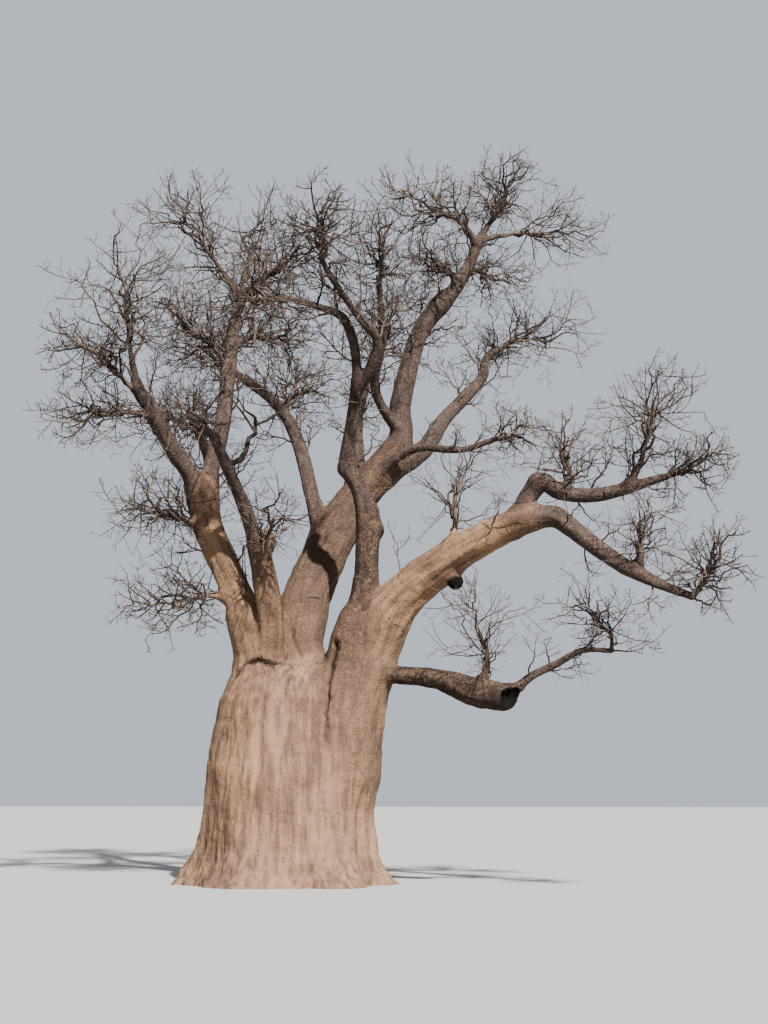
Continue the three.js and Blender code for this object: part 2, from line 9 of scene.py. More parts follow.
import bmesh
import bpy
import numpy as np
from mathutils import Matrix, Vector


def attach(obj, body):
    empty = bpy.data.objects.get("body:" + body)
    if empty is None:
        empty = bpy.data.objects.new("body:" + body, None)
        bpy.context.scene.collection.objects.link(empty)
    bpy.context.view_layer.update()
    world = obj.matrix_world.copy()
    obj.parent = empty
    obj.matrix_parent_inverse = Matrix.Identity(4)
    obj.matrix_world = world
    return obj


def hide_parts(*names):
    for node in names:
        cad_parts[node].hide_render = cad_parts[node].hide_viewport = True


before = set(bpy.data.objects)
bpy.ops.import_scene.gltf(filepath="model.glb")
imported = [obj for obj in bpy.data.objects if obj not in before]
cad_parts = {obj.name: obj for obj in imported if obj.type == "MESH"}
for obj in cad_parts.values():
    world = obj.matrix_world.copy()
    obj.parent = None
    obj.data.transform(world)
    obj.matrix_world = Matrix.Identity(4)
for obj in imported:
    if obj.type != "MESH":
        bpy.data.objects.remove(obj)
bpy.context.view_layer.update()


# Camera
# It stands where the photograph was taken from, 40 m in front of the tree, to its right and 2.3 m up, and is
# turned to the middle of the tree. Its lens is long enough for the tree to fill the frame.
CAMERA_PLACE = Vector((6.84, -40.0, 2.3))
CAMERA_AIM = Vector((2.62, 0.0, 10.0))
CAMERA_LENS_MM = 52.0
CAMERA_REACH = 400.0


def placed(name, data):
    """A new object in the scene, of a camera, a light or a mesh."""
    made = bpy.data.objects.new(name, data)
    bpy.context.scene.collection.objects.link(made)
    return made


camera = placed("camera", bpy.data.cameras.new("camera"))
camera.data.lens = CAMERA_LENS_MM
camera.data.clip_end = CAMERA_REACH
camera.location = CAMERA_PLACE
camera.rotation_euler = (CAMERA_AIM - CAMERA_PLACE).to_track_quat("-Z", "Y").to_euler()
bpy.context.scene.camera = camera


# Trunk
# One swollen bole of soft, wet wood, wider than a room and rooted in the ground. Its ridges part into the
# stems above its waist, and its foot spreads in low toes. It is made of rings up the bole and of thick horns
# that rise out of it under the stems and the great arm.
BOLE = [
    # height, half width, half depth, middle across
    (0.0, 2.85, 2.7, 0.0),
    (0.35, 2.6, 2.45, 0.02),
    (0.9, 2.38, 2.25, 0.04),
    (1.9, 2.24, 2.12, 0.06),
    (3.1, 2.17, 2.0, 0.1),
    (4.1, 2.1, 1.85, 0.15),
    (4.8, 1.98, 1.65, 0.24),
    (5.3, 1.72, 1.4, 0.38),
    (5.7, 1.3, 1.05, 0.55),
    (5.95, 0.6, 0.55, 0.7),
]
TOE_COUNT = 7
TOE_SWELL = 0.085
TOE_FADE = 0.9
TOE_TURN = 0.6
HORNS = {
    # name: (radii spread evenly along it, way)
    "left_horn": ([1.3, 0.88, 0.56, 0.48], [
        (-0.45, -0.1, 2.4), (-0.7, -0.2, 4.7), (-0.86, -0.3, 6.0), (-1.15, -0.35, 7.05),
    ]),
    "centre_horn": ([1.3, 0.82, 0.62, 0.62], [
        (0.4, 0.1, 3.4), (0.22, 0.3, 5.3), (0.12, 0.4, 6.3), (0.25, 0.75, 7.25),
    ]),
    "right_horn": ([1.0, 0.78, 0.54, 0.45], [
        (1.25, -0.35, 3.0), (1.6, -0.6, 4.8), (1.75, -0.75, 6.0), (1.95, -0.9, 6.85),
    ]),
    "arm_horn": ([1.0, 0.68, 0.56, 0.58], [
        (1.2, -0.2, 3.5), (2.05, -0.45, 5.05), (2.45, -0.6, 6.1), (2.75, -0.8, 6.95),
    ]),
}
# How far the bole is carried below the ground, where it is cut flat.
BELOW_GROUND = 0.4
# Over this upward share, a path counts as upright, and its first side direction is level.
UPRIGHT = 0.9


def unit(vectors):
    """Vectors of length 1."""
    length = np.linalg.norm(vectors, axis=-1, keepdims=True)
    return vectors / np.maximum(length, 1e-9)


def smooth_way(way, shares):
    """Points at shares of a curve through every point of a way, or of each of several ways."""
    points = np.asarray(way, float)
    count = points.shape[-2]
    before = 2 * points[..., :1, :] - points[..., 1:2, :]
    after = 2 * points[..., -1:, :] - points[..., -2:-1, :]
    points = np.concatenate([before, points, after], axis=-2)
    place = np.asarray(shares, float) * (count - 1)
    i = np.minimum(place.astype(int), count - 2)
    t = (place - i)[:, None]
    a, b, c, d = (points[..., i + k, :] for k in range(4))
    start, end = (c - a) / 2, (d - b) / 2
    bends = (3 * (c - b) - 2 * start - end) * t**2 + (2 * (b - c) + start + end) * t**3
    return b + start * t + bends


def thick_at(thick, shares):
    """The radius at shares of a limb's length, from radii that are spread evenly along it."""
    return np.interp(np.asarray(shares, float) * (len(thick) - 1), range(len(thick)), thick)


def course_of(thick, way, steps_each):
    """A limb's middle line and radii, with so many steps for each stretch of its way."""
    shares = np.linspace(0, 1, int((len(way) - 1) * steps_each + 0.5) + 1)
    return smooth_way(way, shares), thick_at(thick, shares)


def frames_along(path):
    """Directions along a path and square to it, turned as little as possible from each point to the next."""
    along = unit(np.gradient(path, axis=0))
    side = np.empty_like(along)
    start = np.array((1.0, 0, 0) if abs(along[0, 2]) > UPRIGHT else (0, 0, 1.0))
    for i, direction in enumerate(along):
        start = unit(start - direction * (start @ direction))
        side[i] = start
    return along, side, np.cross(side, along)


def ring_faces(rings, sides, first=0):
    """The faces of a closed tube of so many rings, its two flat ends included."""
    faces = []
    for i in range(rings - 1):
        for j in range(sides):
            a = first + i * sides + j
            b = first + i * sides + (j + 1) % sides
            faces.append((a, b, b + sides, a + sides))
    faces.append(tuple(first + j for j in reversed(range(sides))))
    faces.append(tuple(first + (rings - 1) * sides + j for j in range(sides)))
    return faces


def tube(path, radii, sides):
    """Vertices of round sections along a path, ring by ring."""
    along, side, other = frames_along(path)
    angle = np.linspace(0, 2 * math.pi, sides, endpoint=False)
    spokes = np.cos(angle)[None, :, None] * side[:, None] - np.sin(angle)[None, :, None] * other[:, None]
    return (path[:, None] + spokes * radii[:, None, None]).reshape(-1, 3)


def bole_at(height):
    """Half width, half depth and middle of the bole at heights."""
    rings = np.array(BOLE)
    return [np.interp(height, rings[:, 0], rings[:, i]) for i in (1, 2, 3)]


def toe_swell(angle, height):
    """How much the toes of the foot swell the bole, as a factor."""
    wave = np.cos(TOE_COUNT * angle + TOE_TURN + np.sin(2 * angle))
    return 1 + TOE_SWELL * wave * np.exp(-np.maximum(height, 0) / TOE_FADE)


def bole_tube(sides):
    """Vertices of the bole's rings, carried on below the ground."""
    heights = np.array([-BELOW_GROUND] + [ring[0] for ring in BOLE])
    angle = np.linspace(0, 2 * math.pi, sides, endpoint=False)
    wide, deep, middle = (v[:, None] for v in bole_at(heights))
    swell = toe_swell(angle[None], heights[:, None])
    x = middle + np.cos(angle) * wide * swell
    y = np.sin(angle) * deep * swell
    z = np.broadcast_to(heights[:, None], x.shape)
    return np.stack([x, y, z], axis=-1).reshape(-1, 3), len(heights)


# Limbs
# Stems and arms of the same soft wood grow from the trunk, and boughs grow from them. Each tapers along its
# way, and starts inside the limb that it grows from.
LIMBS = {
    # name: (grows from, radii spread evenly along it, way)
    "left_stem": ("trunk", [0.48, 0.42, 0.4, 0.41, 0.41], [
        (-0.85, -0.3, 6.2), (-1.25, -0.4, 7.4), (-1.75, -0.6, 8.5), (-2.15, -0.8, 9.55),
        (-2.35, -1.0, 10.55),
    ]),
    "middle_stem": ("trunk", [0.4, 0.38, 0.36, 0.33, 0.25], [
        (-0.4, -0.4, 5.1), (-0.4, -0.6, 6.0), (-0.35, -0.9, 7.1), (-0.5, -1.1, 8.1), (-0.7, -1.3, 9.05),
    ]),
    "centre_stem": ("trunk", [0.6, 0.63, 0.64, 0.6, 0.52, 0.44], [
        (0.1, 0.4, 6.2), (0.25, 0.8, 7.55), (0.65, 1.3, 8.75), (1.05, 1.8, 9.85), (1.75, 2.2, 11.0),
        (2.65, 2.3, 12.05),
    ]),
    "right_stem": ("trunk", [0.5, 0.41, 0.33, 0.28], [
        (1.75, -0.7, 5.35), (2.0, -0.9, 6.65), (2.25, -1.0, 8.1), (2.3, -1.0, 9.8),
    ]),
    "great_arm": ("trunk", [0.5, 0.56, 0.57, 0.5, 0.41, 0.32], [
        (2.2, -0.5, 5.05), (2.65, -0.7, 6.5), (3.25, -1.1, 7.5), (4.2, -1.6, 8.2), (5.35, -2.2, 8.8),
        (6.7, -2.9, 9.25),
    ]),
    "low_arm": ("trunk", [0.21, 0.23, 0.26, 0.37, 0.22], [
        (2.15, -0.5, 5.5), (2.95, -0.9, 5.45), (4.3, -1.4, 5.25), (5.35, -1.9, 4.85), (6.2, -2.2, 4.85),
    ]),
    "back_left_bough": ("trunk", [0.42, 0.37, 0.3, 0.24, 0.2, 0.16], [
        (-0.7, 0.35, 5.1), (-0.95, 0.5, 6.3), (-1.75, 1.4, 8.2), (-2.85, 3.0, 10.3), (-3.2, 4.2, 12.05),
        (-3.9, 5.4, 13.7),
    ]),
    "left_outer_bough": ("left_stem", [0.28, 0.23, 0.21, 0.22, 0.16], [
        (-2.25, -1.0, 10.25), (-2.55, -1.4, 10.9), (-2.9, -1.9, 11.45), (-3.2, -2.4, 12.1),
        (-3.6, -3.2, 12.9),
    ]),
    "left_tall_bough": ("left_stem", [0.28, 0.23, 0.22, 0.22, 0.17, 0.15], [
        (-2.3, -1.0, 10.15), (-2.05, -0.8, 11.35), (-1.85, -0.4, 12.65), (-1.85, 0.0, 14.15),
        (-1.8, 0.4, 15.55), (-1.75, 0.8, 16.75),
    ]),
    "middle_bough": ("middle_stem", [0.23, 0.19, 0.17, 0.13], [
        (-0.65, -1.3, 8.8), (-0.85, -1.8, 9.65), (-1.05, -2.4, 10.3), (-1.4, -3.6, 11.35),
    ]),
    "leader": ("centre_stem", [0.42, 0.34, 0.31, 0.28, 0.26, 0.25], [
        (2.3, 2.3, 11.6), (2.85, 2.3, 12.6), (2.85, 2.3, 13.6), (3.1, 2.3, 14.8), (3.5, 2.3, 15.95),
        (4.2, 2.3, 16.9),
    ]),
    "arching_bough": ("centre_stem", [0.25, 0.21, 0.2, 0.17, 0.12], [
        (0.65, 1.6, 9.7), (0.25, 2.0, 11.1), (-0.2, 2.7, 12.6), (-1.05, 3.5, 14.1), (-2.55, 4.4, 15.4),
    ]),
    "back_bough": ("centre_stem", [0.36, 0.29, 0.21, 0.15], [
        (1.3, 2.1, 10.2), (1.4, 3.4, 11.9), (1.25, 4.8, 13.9), (1.5, 6.2, 15.85),
    ]),
    "right_bough": ("centre_stem", [0.33, 0.27, 0.2, 0.18, 0.16, 0.13, 0.12], [
        (2.5, 2.3, 11.6), (3.5, 2.5, 12.3), (4.1, 3.05, 13.4), (4.93, 4.0, 14.54), (5.25, 4.5, 15.15),
        (5.28, 4.8, 15.65), (5.5, 4.9, 15.95),
    ]),
    "thin_bough": ("centre_stem", [0.14, 0.14, 0.11, 0.09, 0.07], [
        (2.0, 2.0, 11.25), (2.8, 1.6, 11.9), (3.6, 1.2, 12.1), (4.7, 0.6, 11.85), (5.6, 0.2, 12.0),
    ]),
    "right_tall_bough": ("right_stem", [0.28, 0.24, 0.22, 0.17, 0.15], [
        (2.4, -1.0, 9.35), (2.1, -1.2, 10.4), (1.8, -1.5, 11.05), (2.0, -2.1, 12.0), (2.2, -2.8, 13.0),
    ]),
    "front_left_bough": ("right_tall_bough", [0.14, 0.13, 0.11, 0.09, 0.07], [
        (2.2, -2.7, 12.75), (2.2, -3.3, 13.65), (2.0, -4.0, 14.3), (1.45, -4.7, 14.4), (0.8, -5.4, 14.4),
    ]),
    "front_right_bough": ("right_tall_bough", [0.14, 0.15, 0.12, 0.09, 0.08], [
        (2.2, -2.7, 12.7), (2.65, -3.2, 13.35), (2.8, -3.6, 13.85), (2.35, -4.2, 14.35),
        (1.75, -5.0, 15.15),
    ]),
    "leader_side_bough": ("leader", [0.18, 0.15, 0.13, 0.11, 0.08], [
        (2.8, 2.1, 12.9), (2.35, 1.5, 13.5), (2.25, 1.0, 14.1), (2.55, 0.2, 15.05), (2.55, -0.6, 16.35),
    ]),
    "leader_top": ("leader", [0.25, 0.19, 0.15, 0.11], [
        (4.05, 2.3, 16.7), (4.65, 2.3, 17.4), (5.0, 2.3, 18.1), (5.35, 2.3, 18.9),
    ]),
    "upper_arm": ("great_arm", [0.25, 0.24, 0.21, 0.19, 0.17, 0.15, 0.1], [
        (6.2, -2.6, 9.0), (6.6, -2.8, 9.75), (7.0, -2.9, 10.15), (7.45, -3.0, 9.85), (8.3, -3.1, 9.75),
        (9.15, -3.2, 9.9), (9.95, -3.3, 10.1),
    ]),
    "lower_arm": ("great_arm", [0.3, 0.27, 0.23, 0.19, 0.14, 0.09], [
        (6.45, -2.8, 9.2), (7.25, -3.1, 9.2), (7.85, -3.5, 8.7), (8.85, -4.2, 7.8), (9.75, -5.0, 7.15),
        (10.35, -5.6, 6.8),
    ]),
    "low_arm_end": ("low_arm", [0.13, 0.11, 0.09, 0.07, 0.06], [
        (5.95, -2.1, 4.75), (6.6, -2.3, 5.25), (7.25, -2.5, 5.55), (7.9, -2.8, 5.85), (8.6, -3.1, 5.8),
    ]),
}
# How weathered the bark is: 0 is pale and smooth, and 1 is dark and mottled. The values carry painted light
# and
# shade too: the low arm is darker for the shade it hangs in, the left stem paler against shadow cast on it,
# and the great arm below 0 for its sunlit top. BOUGH_AGE_AND_SHADING is that of the boughs that aren't
# named.
BARK_AGE_AND_SHADING = {
    "trunk": 0.15, "left_horn": 0.2, "centre_horn": 0.5, "right_horn": 0.6, "arm_horn": 0.55,
    "centre_stem": 0.8, "great_arm": -0.2, "left_stem": 0.0, "middle_stem": 0.45,
    "right_stem": 1.1, "low_arm": 1.15, "back_left_bough": 0.8, "low_arm_end": 0.7,
}
BOUGH_AGE_AND_SHADING = 0.85


# Burls, folds and the hollow
# Round lumps of wood have grown over the places of lost boughs. Folds of bark run down between the ridges of
# the trunk, a crack crosses its waist, and the low arm ends in a rotted hollow. Painted shade darkens the
# folds, the hollow and some of the burls.
BURLS = [
    # middle, radius, darkness of the painted shade on it
    ((4.68, -1.9, 7.74), 0.17, 1.0),
    ((6.85, -2.95, 10.15), 0.22, 0.0),
    ((-3.1, -2.4, 12.3), 0.24, 0.2),
    ((1.74, -1.4, 10.95), 0.22, 0.0),
    ((2.58, -1.05, 9.3), 0.12, 0.6),
    ((-0.48, -1.28, 9.0), 0.32, 0.0),
    ((2.8, 2.2, 12.4), 0.36, 0.0),
    ((5.85, -2.1, 4.72), 0.36, 0.2),
]
FOLDS = [
    # points across and up on the trunk's front, half width, depth, darkness of the painted shade in it
    ([(1.5, 6.25), (1.38, 5.6), (1.35, 5.0), (1.3, 4.4), (1.27, 3.6), (1.2, 2.6)], 0.065, 0.16, 0.7),
    ([(-1.3, 5.35), (-1.05, 5.72), (-0.7, 5.84), (-0.3, 5.76), (0.1, 5.7), (0.5, 5.84)], 0.045, 0.1, 0.8),
    ([(-0.35, 5.76), (-0.2, 5.6), (-0.1, 5.4)], 0.045, 0.06, 0.6),
    ([(0.2, 5.72), (0.32, 5.55), (0.5, 5.45)], 0.045, 0.05, 0.5),
    ([(0.1, 6.75), (0.2, 6.45), (0.34, 6.15), (0.44, 5.95), (0.56, 5.78)], 0.05, 0.06, 0.45),
]
# The size of the waves that the folds waver in, and how quick the slow and the quick one are.
FOLD_WOBBLE = 0.009
WAVES_ACROSS = (8.3, 21.7)
WAVES_UP = (9.1, 23.3)
# How soon the folds fade round the trunk's sides and towards their far ends. All are in front of FOLD_BACK.
FOLD_FADE = 2.5
FOLD_BACK = 0.2
HOLLOW_MIDDLE = np.array((6.14, -2.44, 4.66))
HOLLOW_RADIUS = 0.29
HOLLOW_RAGGED = 0.1
HOLLOW_WAVES = (17.0, 11.0, 19.0, 5.0)
# How far round the hollow and the burls the bark is darkened with painted shade, and over what distance that
# fades.
HOLLOW_RIM = 0.07
HOLLOW_FADE = 0.06
BURL_RIM = 0.1


# Stems of the twigs
# Each mass of twigs grows from a limb on one thin woody stem, which leaves it part way along or at its tip
# and runs towards the middle of the mass's own space. The stem's foot swells where it leaves the limb.
MASSES = {
    # name: (limb, share of its length, middle of the space, half its width, depth and height, how full of
    # twigs and how stout)
    "left_low_twigs": ("left_outer_bough", 0.8, (-4.6, -4.0, 11.85), (1.5, 1.4, 0.95), 0.85),
    "left_far_twigs": ("left_outer_bough", 0.9, (-4.4, -4.6, 13.4), (1.45, 1.6, 1.05), 0.95),
    "left_upper_twigs": ("left_outer_bough", 1, (-4.0, -3.4, 15.6), (1.7, 1.8, 1.45), 0.9),
    "left_inner_twigs": ("left_tall_bough", 0.62, (-2.85, -1.4, 15.2), (1.3, 1.55, 1.45), 0.95),
    "crown_left_twigs": ("left_tall_bough", 1, (-3.15, 0.4, 18.75), (1.65, 1.9, 1.95), 0.9),
    "crown_back_twigs": ("left_tall_bough", 0.82, (-1.7, 3.0, 19.0), (1.4, 1.8, 1.75), 0.95),
    "crown_middle_twigs": ("left_tall_bough", 0.9, (-0.3, 0.4, 17.6), (1.35, 1.6, 1.4), 0.95),
    "tall_bough_twigs": ("left_tall_bough", 0.72, (-0.5, 0.8, 15.3), (1.25, 1.5, 1.0), 0.95),
    "front_top_twigs": ("front_right_bough", 1, (1.6, -5.5, 16.05), (1.35, 1.6, 1.4), 0.95),
    "front_left_twigs": ("front_left_bough", 1, (0.25, -6.1, 14.0), (1.3, 1.5, 1.25), 0.95),
    "side_bough_twigs": ("leader_side_bough", 1, (2.6, -0.9, 17.1), (1.35, 1.65, 1.45), 0.85),
    "back_top_twigs": ("back_bough", 1, (2.2, 6.8, 17.6), (2.1, 2.2, 1.9), 0.95),
    "leader_left_twigs": ("leader_top", 0.86, (3.6, 1.6, 19.7), (1.65, 1.6, 1.05), 0.95),
    "leader_top_twigs": ("leader_top", 1, (6.0, 2.6, 20.2), (1.45, 1.6, 1.35), 0.95),
    "leader_right_twigs": ("leader_top", 0.93, (7.6, 3.2, 19.2), (1.7, 1.7, 1.15), 0.85),
    "leader_under_twigs": ("leader_top", 0.5, (5.8, 3.4, 17.8), (1.25, 1.4, 1.0), 0.8),
    "leader_inner_twigs": ("leader_top", 0.35, (3.9, 1.4, 17.6), (1.15, 1.4, 1.05), 0.95),
    "right_bough_twigs": ("right_bough", 1, (6.75, 5.3, 16.6), (2.1, 2.0, 1.4), 0.85),
    "thin_bough_twigs": ("thin_bough", 1, (6.2, 0.0, 12.1), (1.15, 1.3, 0.95), 0.75),
    "arm_first_twigs": ("great_arm", 0.66, (4.7, -2.0, 10.5), (1.4, 1.5, 1.45), 0.66),
    "arm_second_twigs": ("upper_arm", 0.5, (7.6, -3.0, 10.9), (1.2, 1.4, 1.1), 0.7),
    "arm_upper_twigs": ("upper_arm", 0.82, (9.75, -3.4, 11.6), (1.6, 1.8, 1.4), 0.85),
    "arm_end_twigs": ("upper_arm", 1, (10.7, -3.8, 10.2), (1.15, 1.4, 1.05), 0.8),
    "lower_arm_twigs": ("lower_arm", 0.66, (9.3, -4.6, 8.5), (1.2, 1.35, 0.9), 0.65),
    "lower_arm_end_twigs": ("lower_arm", 1, (10.75, -5.9, 7.35), (1.15, 1.4, 1.2), 0.8),
    "low_arm_twigs": ("low_arm", 0.72, (5.25, -2.2, 6.7), (1.6, 1.6, 1.35), 0.62),
    "low_arm_end_twigs": ("low_arm_end", 1, (8.25, -3.2, 6.6), (1.45, 1.5, 1.25), 0.65),
    "left_side_twigs": ("left_stem", 0.3, (-3.05, -1.2, 7.4), (1.55, 1.6, 1.3), 0.92),
    "left_stem_twigs": ("left_stem", 0.72, (-3.35, -2.0, 9.7), (1.45, 1.6, 1.25), 0.88),
    "back_left_twigs": ("back_left_bough", 1, (-5.0, 6.6, 14.5), (2.0, 2.2, 1.8), 0.95),
    "middle_bough_twigs": ("middle_bough", 1, (-1.6, -4.6, 11.5), (1.25, 1.5, 1.2), 0.62),
    "middle_stem_twigs": ("middle_stem", 0.85, (0.1, -3.0, 9.4), (1.1, 1.4, 1.05), 0.7),
    "arch_end_twigs": ("arching_bough", 1, (-3.8, 5.0, 16.5), (1.8, 1.9, 1.55), 0.95),
    "arch_middle_twigs": ("arching_bough", 0.7, (-0.5, 4.2, 14.9), (1.45, 1.6, 1.35), 0.95),
}
COURSE_STEPS = 1.3
STEM_SPANS = 2
STEM_THICK = 0.075
STEM_TIP = 0.045
STEM_MOST = 0.62
STEM_CROOK = 0.07
STEM_REACH = 0.9
STEM_LEAN = 0.6
# How far along its length a crooked twig turns from its first heading to its end.
BEND_SHARE = 0.45
# A mass's stem is its twig number 1. The seeded draws that make a path crooked start at 10, three a point.
STEM_NUMBER = 1
CROOK_DRAW = 10
HASH_START = 2166136261
HASH_FIRST = np.uint32(16777619)
HASH_SECOND = np.uint32(1540483477)
HASH_RANGE = 4294967296.0

mass_names = list(MASSES)
mass_middle, mass_half, fullness = (np.array([mass[i] for mass in MASSES.values()]) for i in (2, 3, 4))
limb_courses = {name: course_of(thick, way, COURSE_STEPS) for name, (_, thick, way) in LIMBS.items()}


def chance(mass, twig, draw):
    """Seeded numbers from 0 to 1 for masses, twigs' own numbers and draws."""
    keys = [np.atleast_1d(np.asarray(key)).astype(np.uint32) for key in (mass, twig, draw)]
    keys = np.broadcast_arrays(*keys)
    h = np.full(keys[0].shape, HASH_START, np.uint32)
    for key in keys:
        h = (h ^ key) * HASH_FIRST
        h = (h ^ (h >> np.uint32(13))) * HASH_SECOND
        h = h ^ (h >> np.uint32(15))
    return h / HASH_RANGE


def nudge(mass, twig, draw, size):
    """Pushes in seeded directions, as long as size."""
    push = np.stack([chance(mass, twig, draw + i) - 0.5 for i in range(3)], axis=-1)
    return push * 2 * np.asarray(size)[..., None]


def crooked_paths(start, heading, end, spans, crook, mass, twig):
    """Crooked paths that leave start along heading and end at end."""
    length = np.linalg.norm(end - start, axis=-1)
    bend = start + heading * (length * BEND_SHARE)[:, None]
    points = []
    for i in range(spans + 1):
        t = i / spans
        point = start * (1 - t) ** 2 + bend * 2 * t * (1 - t) + end * t * t
        if 0 < i < spans:
            point = point + nudge(mass, twig, CROOK_DRAW + 3 * i, crook * length)
        points.append(point)
    return np.stack(points, axis=1)


def place_on(paths, share):
    """Points part way along paths, and the paths' directions there."""
    place = np.asarray(share) * (paths.shape[1] - 1)
    i = np.minimum(place.astype(int), paths.shape[1] - 2)
    every = np.arange(len(paths))
    step = paths[every, i + 1] - paths[every, i]
    return paths[every, i] + step * (place - i)[:, None], unit(step)


def stem_of(seed, limb, at, middle):
    """A mass's stem, its thickness and the thickness of the limb where it leaves."""
    path, radii = limb_courses[limb]
    point, along = place_on(path[None], np.array([at]))
    end = point + (np.array(middle) - point) * STEM_REACH
    heading = unit(unit(end - point) + STEM_LEAN * along)
    limb_thick = thick_at(radii, at)
    stem = crooked_paths(point, heading, end, STEM_SPANS, STEM_CROOK, seed, STEM_NUMBER)[0]
    return stem, min(STEM_THICK, limb_thick * STEM_MOST), limb_thick


stems = [stem_of(seed, *mass[:3]) for seed, mass in enumerate(MASSES.values())]

# How far a stem's swollen foot reaches and how it swells. At a limb's tip, it carries on the limb's taper.
FOOT_REACH = 1.1
FOOT_STEPS = 24
FOOT_TAPER = 0.5
SIDE_SWELL = 2.0
SIDE_FADE = 0.16
TIP_SWELL = 0.94
TIP_FADE = 0.36


def foot_of(stem, thick, limb_thick, at):
    """The middle line and radii of the swollen foot of a stem, which ends inside the stem."""
    path = smooth_way(stem, np.linspace(0, 1, FOOT_STEPS + 1))
    far = np.concatenate([[0], np.cumsum(np.linalg.norm(np.diff(path, axis=0), axis=1))])
    if at == 1:
        extra = (limb_thick * TIP_SWELL - thick) * np.exp(-far / TIP_FADE)
    else:
        extra = thick * (SIDE_SWELL - 1) * np.exp(-np.maximum(far - limb_thick, 0) / SIDE_FADE)
    radii = (thick + extra) * (1 - FOOT_TAPER * np.clip(far / FOOT_REACH, 0, 1) ** 3)
    kept = far < FOOT_REACH
    return path[kept], radii[kept]


# Bark
# One skin of bark covers the trunk, the limbs and the feet of the twigs' stems, and runs smoothly from one
# to the next. It is smooth grey-brown skin over swollen wood, with lumps, flutes and wrinkles.
SKIN_PITCH = 0.042
SKIN_STEPS = 5
SKIN_SIDES = 20
BOLE_SIDES = 64
BURL_RINGS = 8
BURL_POLE = 1.4
# How often, and by how much at most, the skin is moved to the bark's true place, and how it is then evened.
SKIN_ROUNDS = 4
SKIN_STEP = 0.08
EVEN_FACTOR = 0.5
EVEN_ROUNDS = 2
# How far limbs run into each other, as a share of their girth, at least and at most.
BLEND_SHARE = 0.24
BLEND_LEAST = 0.012
BLEND_MOST = 0.27
# Over what distance girth and weathering, with its painted light and shade, change from limb to limb, and
# how far round a limb or a burl is felt.
SIZE_BLEND = 0.15
LIMB_SPARE = 1.2
FIELD_REACH = 0.35
BURL_REACH = 0.7
# The relief grows no more past GIRTH_MOST. It fades nearer to another limb than this share of the girth.
GIRTH_MOST = 0.7
PLAIN_SHARE = 0.5
PLAIN_LEAST = 0.05

BARK_PIECES = {
    "trunk_bark": ["trunk"],
    "stem_bark": [name for name, limb in LIMBS.items() if limb[0] == "trunk"],
    "bough_bark": [name for name, limb in LIMBS.items() if limb[0] != "trunk"],
}
# How far each piece reaches over the next, and how often the line between them is smoothed.
PIECE_LEAD = [0.12, 0.05, 0.0]
PIECE_ROUNDS = 16

skin_courses = [("trunk", *course_of(thick, way, SKIN_STEPS)) for thick, way in HORNS.values()]
skin_courses += [(name, *course_of(thick, way, SKIN_STEPS)) for name, (_, thick, way) in LIMBS.items()]
skin_courses += [(mass[0], *foot_of(*stem, mass[1])) for stem, mass in zip(stems, MASSES.values())]
course_names = ["trunk", *HORNS, *LIMBS, *(mass[0] for mass in MASSES.values())]
course_age_and_shading = [BARK_AGE_AND_SHADING.get(name, BOUGH_AGE_AND_SHADING) for name in course_names]


def burl_course(middle, radius):
    """A burl as a short thick limb."""
    poles = np.sin(np.linspace(-BURL_POLE, BURL_POLE, BURL_RINGS)) * radius
    return np.array(middle) + poles[:, None] * np.array((0, 0, 1.0)), np.sqrt(radius**2 - poles**2)


def mesh_object(name, vertices, faces):
    """A new mesh object in the scene."""
    mesh = bpy.data.meshes.new(name)
    mesh.from_pydata(np.asarray(vertices).tolist(), [], faces)
    mesh.update()
    return placed(name, mesh)


def rough_tree():
    """The bole, the horns, the limbs and the burls as closed tubes that run into each other."""
    vertices, rings = bole_tube(BOLE_SIDES)
    faces = ring_faces(rings, BOLE_SIDES)
    parts = [vertices]
    count = len(vertices)
    courses = [course[1:] for course in skin_courses] + [burl_course(*burl[:2]) for burl in BURLS]
    for path, radii in courses:
        faces += ring_faces(len(path), SKIN_SIDES, count)
        parts.append(tube(path, radii, SKIN_SIDES))
        count += len(parts[-1])
    return mesh_object("rough_tree", np.vstack(parts), faces)


def settled(made, name):
    """A plain mesh object of what an object's modifiers make of it, in place of that object."""
    mesh = bpy.data.meshes.new_from_object(made.evaluated_get(bpy.context.evaluated_depsgraph_get()))
    bpy.data.meshes.remove(made.data)
    mesh.name = name
    return placed(name, mesh)


def points_of(mesh):
    """A mesh's vertices as an array."""
    flat = np.empty(len(mesh.vertices) * 3, np.float32)
    mesh.vertices.foreach_get("co", flat)
    return flat.reshape(-1, 3).astype(float)


def limb_field(points, path, radii):
    """For points near a limb: their distance from its bark, the way out, the limb's radius there, and their
    place round and along it."""
    _, side, other = frames_along(path)
    lengths = np.concatenate([[0], np.cumsum(np.linalg.norm(np.diff(path, axis=0), axis=1))])
    distance = np.full(len(points), np.inf)
    out = np.zeros_like(points)
    radius = np.zeros(len(points))
    grain = np.zeros_like(points)
    for i in range(len(path) - 1):
        step = path[i + 1] - path[i]
        t = np.clip((points - path[i]) @ step / (step @ step), 0, 1)
        offset = points - path[i] - t[:, None] * step
        length = np.linalg.norm(offset, axis=1)
        thick = radii[i] + (radii[i + 1] - radii[i]) * t
        closer = length - thick < distance
        t, thick = t[closer], thick[closer]
        distance[closer] = length[closer] - thick
        out[closer] = offset[closer] / np.maximum(length[closer], 1e-6)[:, None]
        radius[closer] = thick
        turned = [axis[i] + (axis[i + 1] - axis[i]) * t[:, None] for axis in (side, other)]
        round_it = [np.einsum("ij,ij->i", out[closer], way) * thick for way in turned]
        grain[closer] = np.stack([*round_it, lengths[i] + (lengths[i + 1] - lengths[i]) * t], axis=1)
    return distance, out, radius, grain


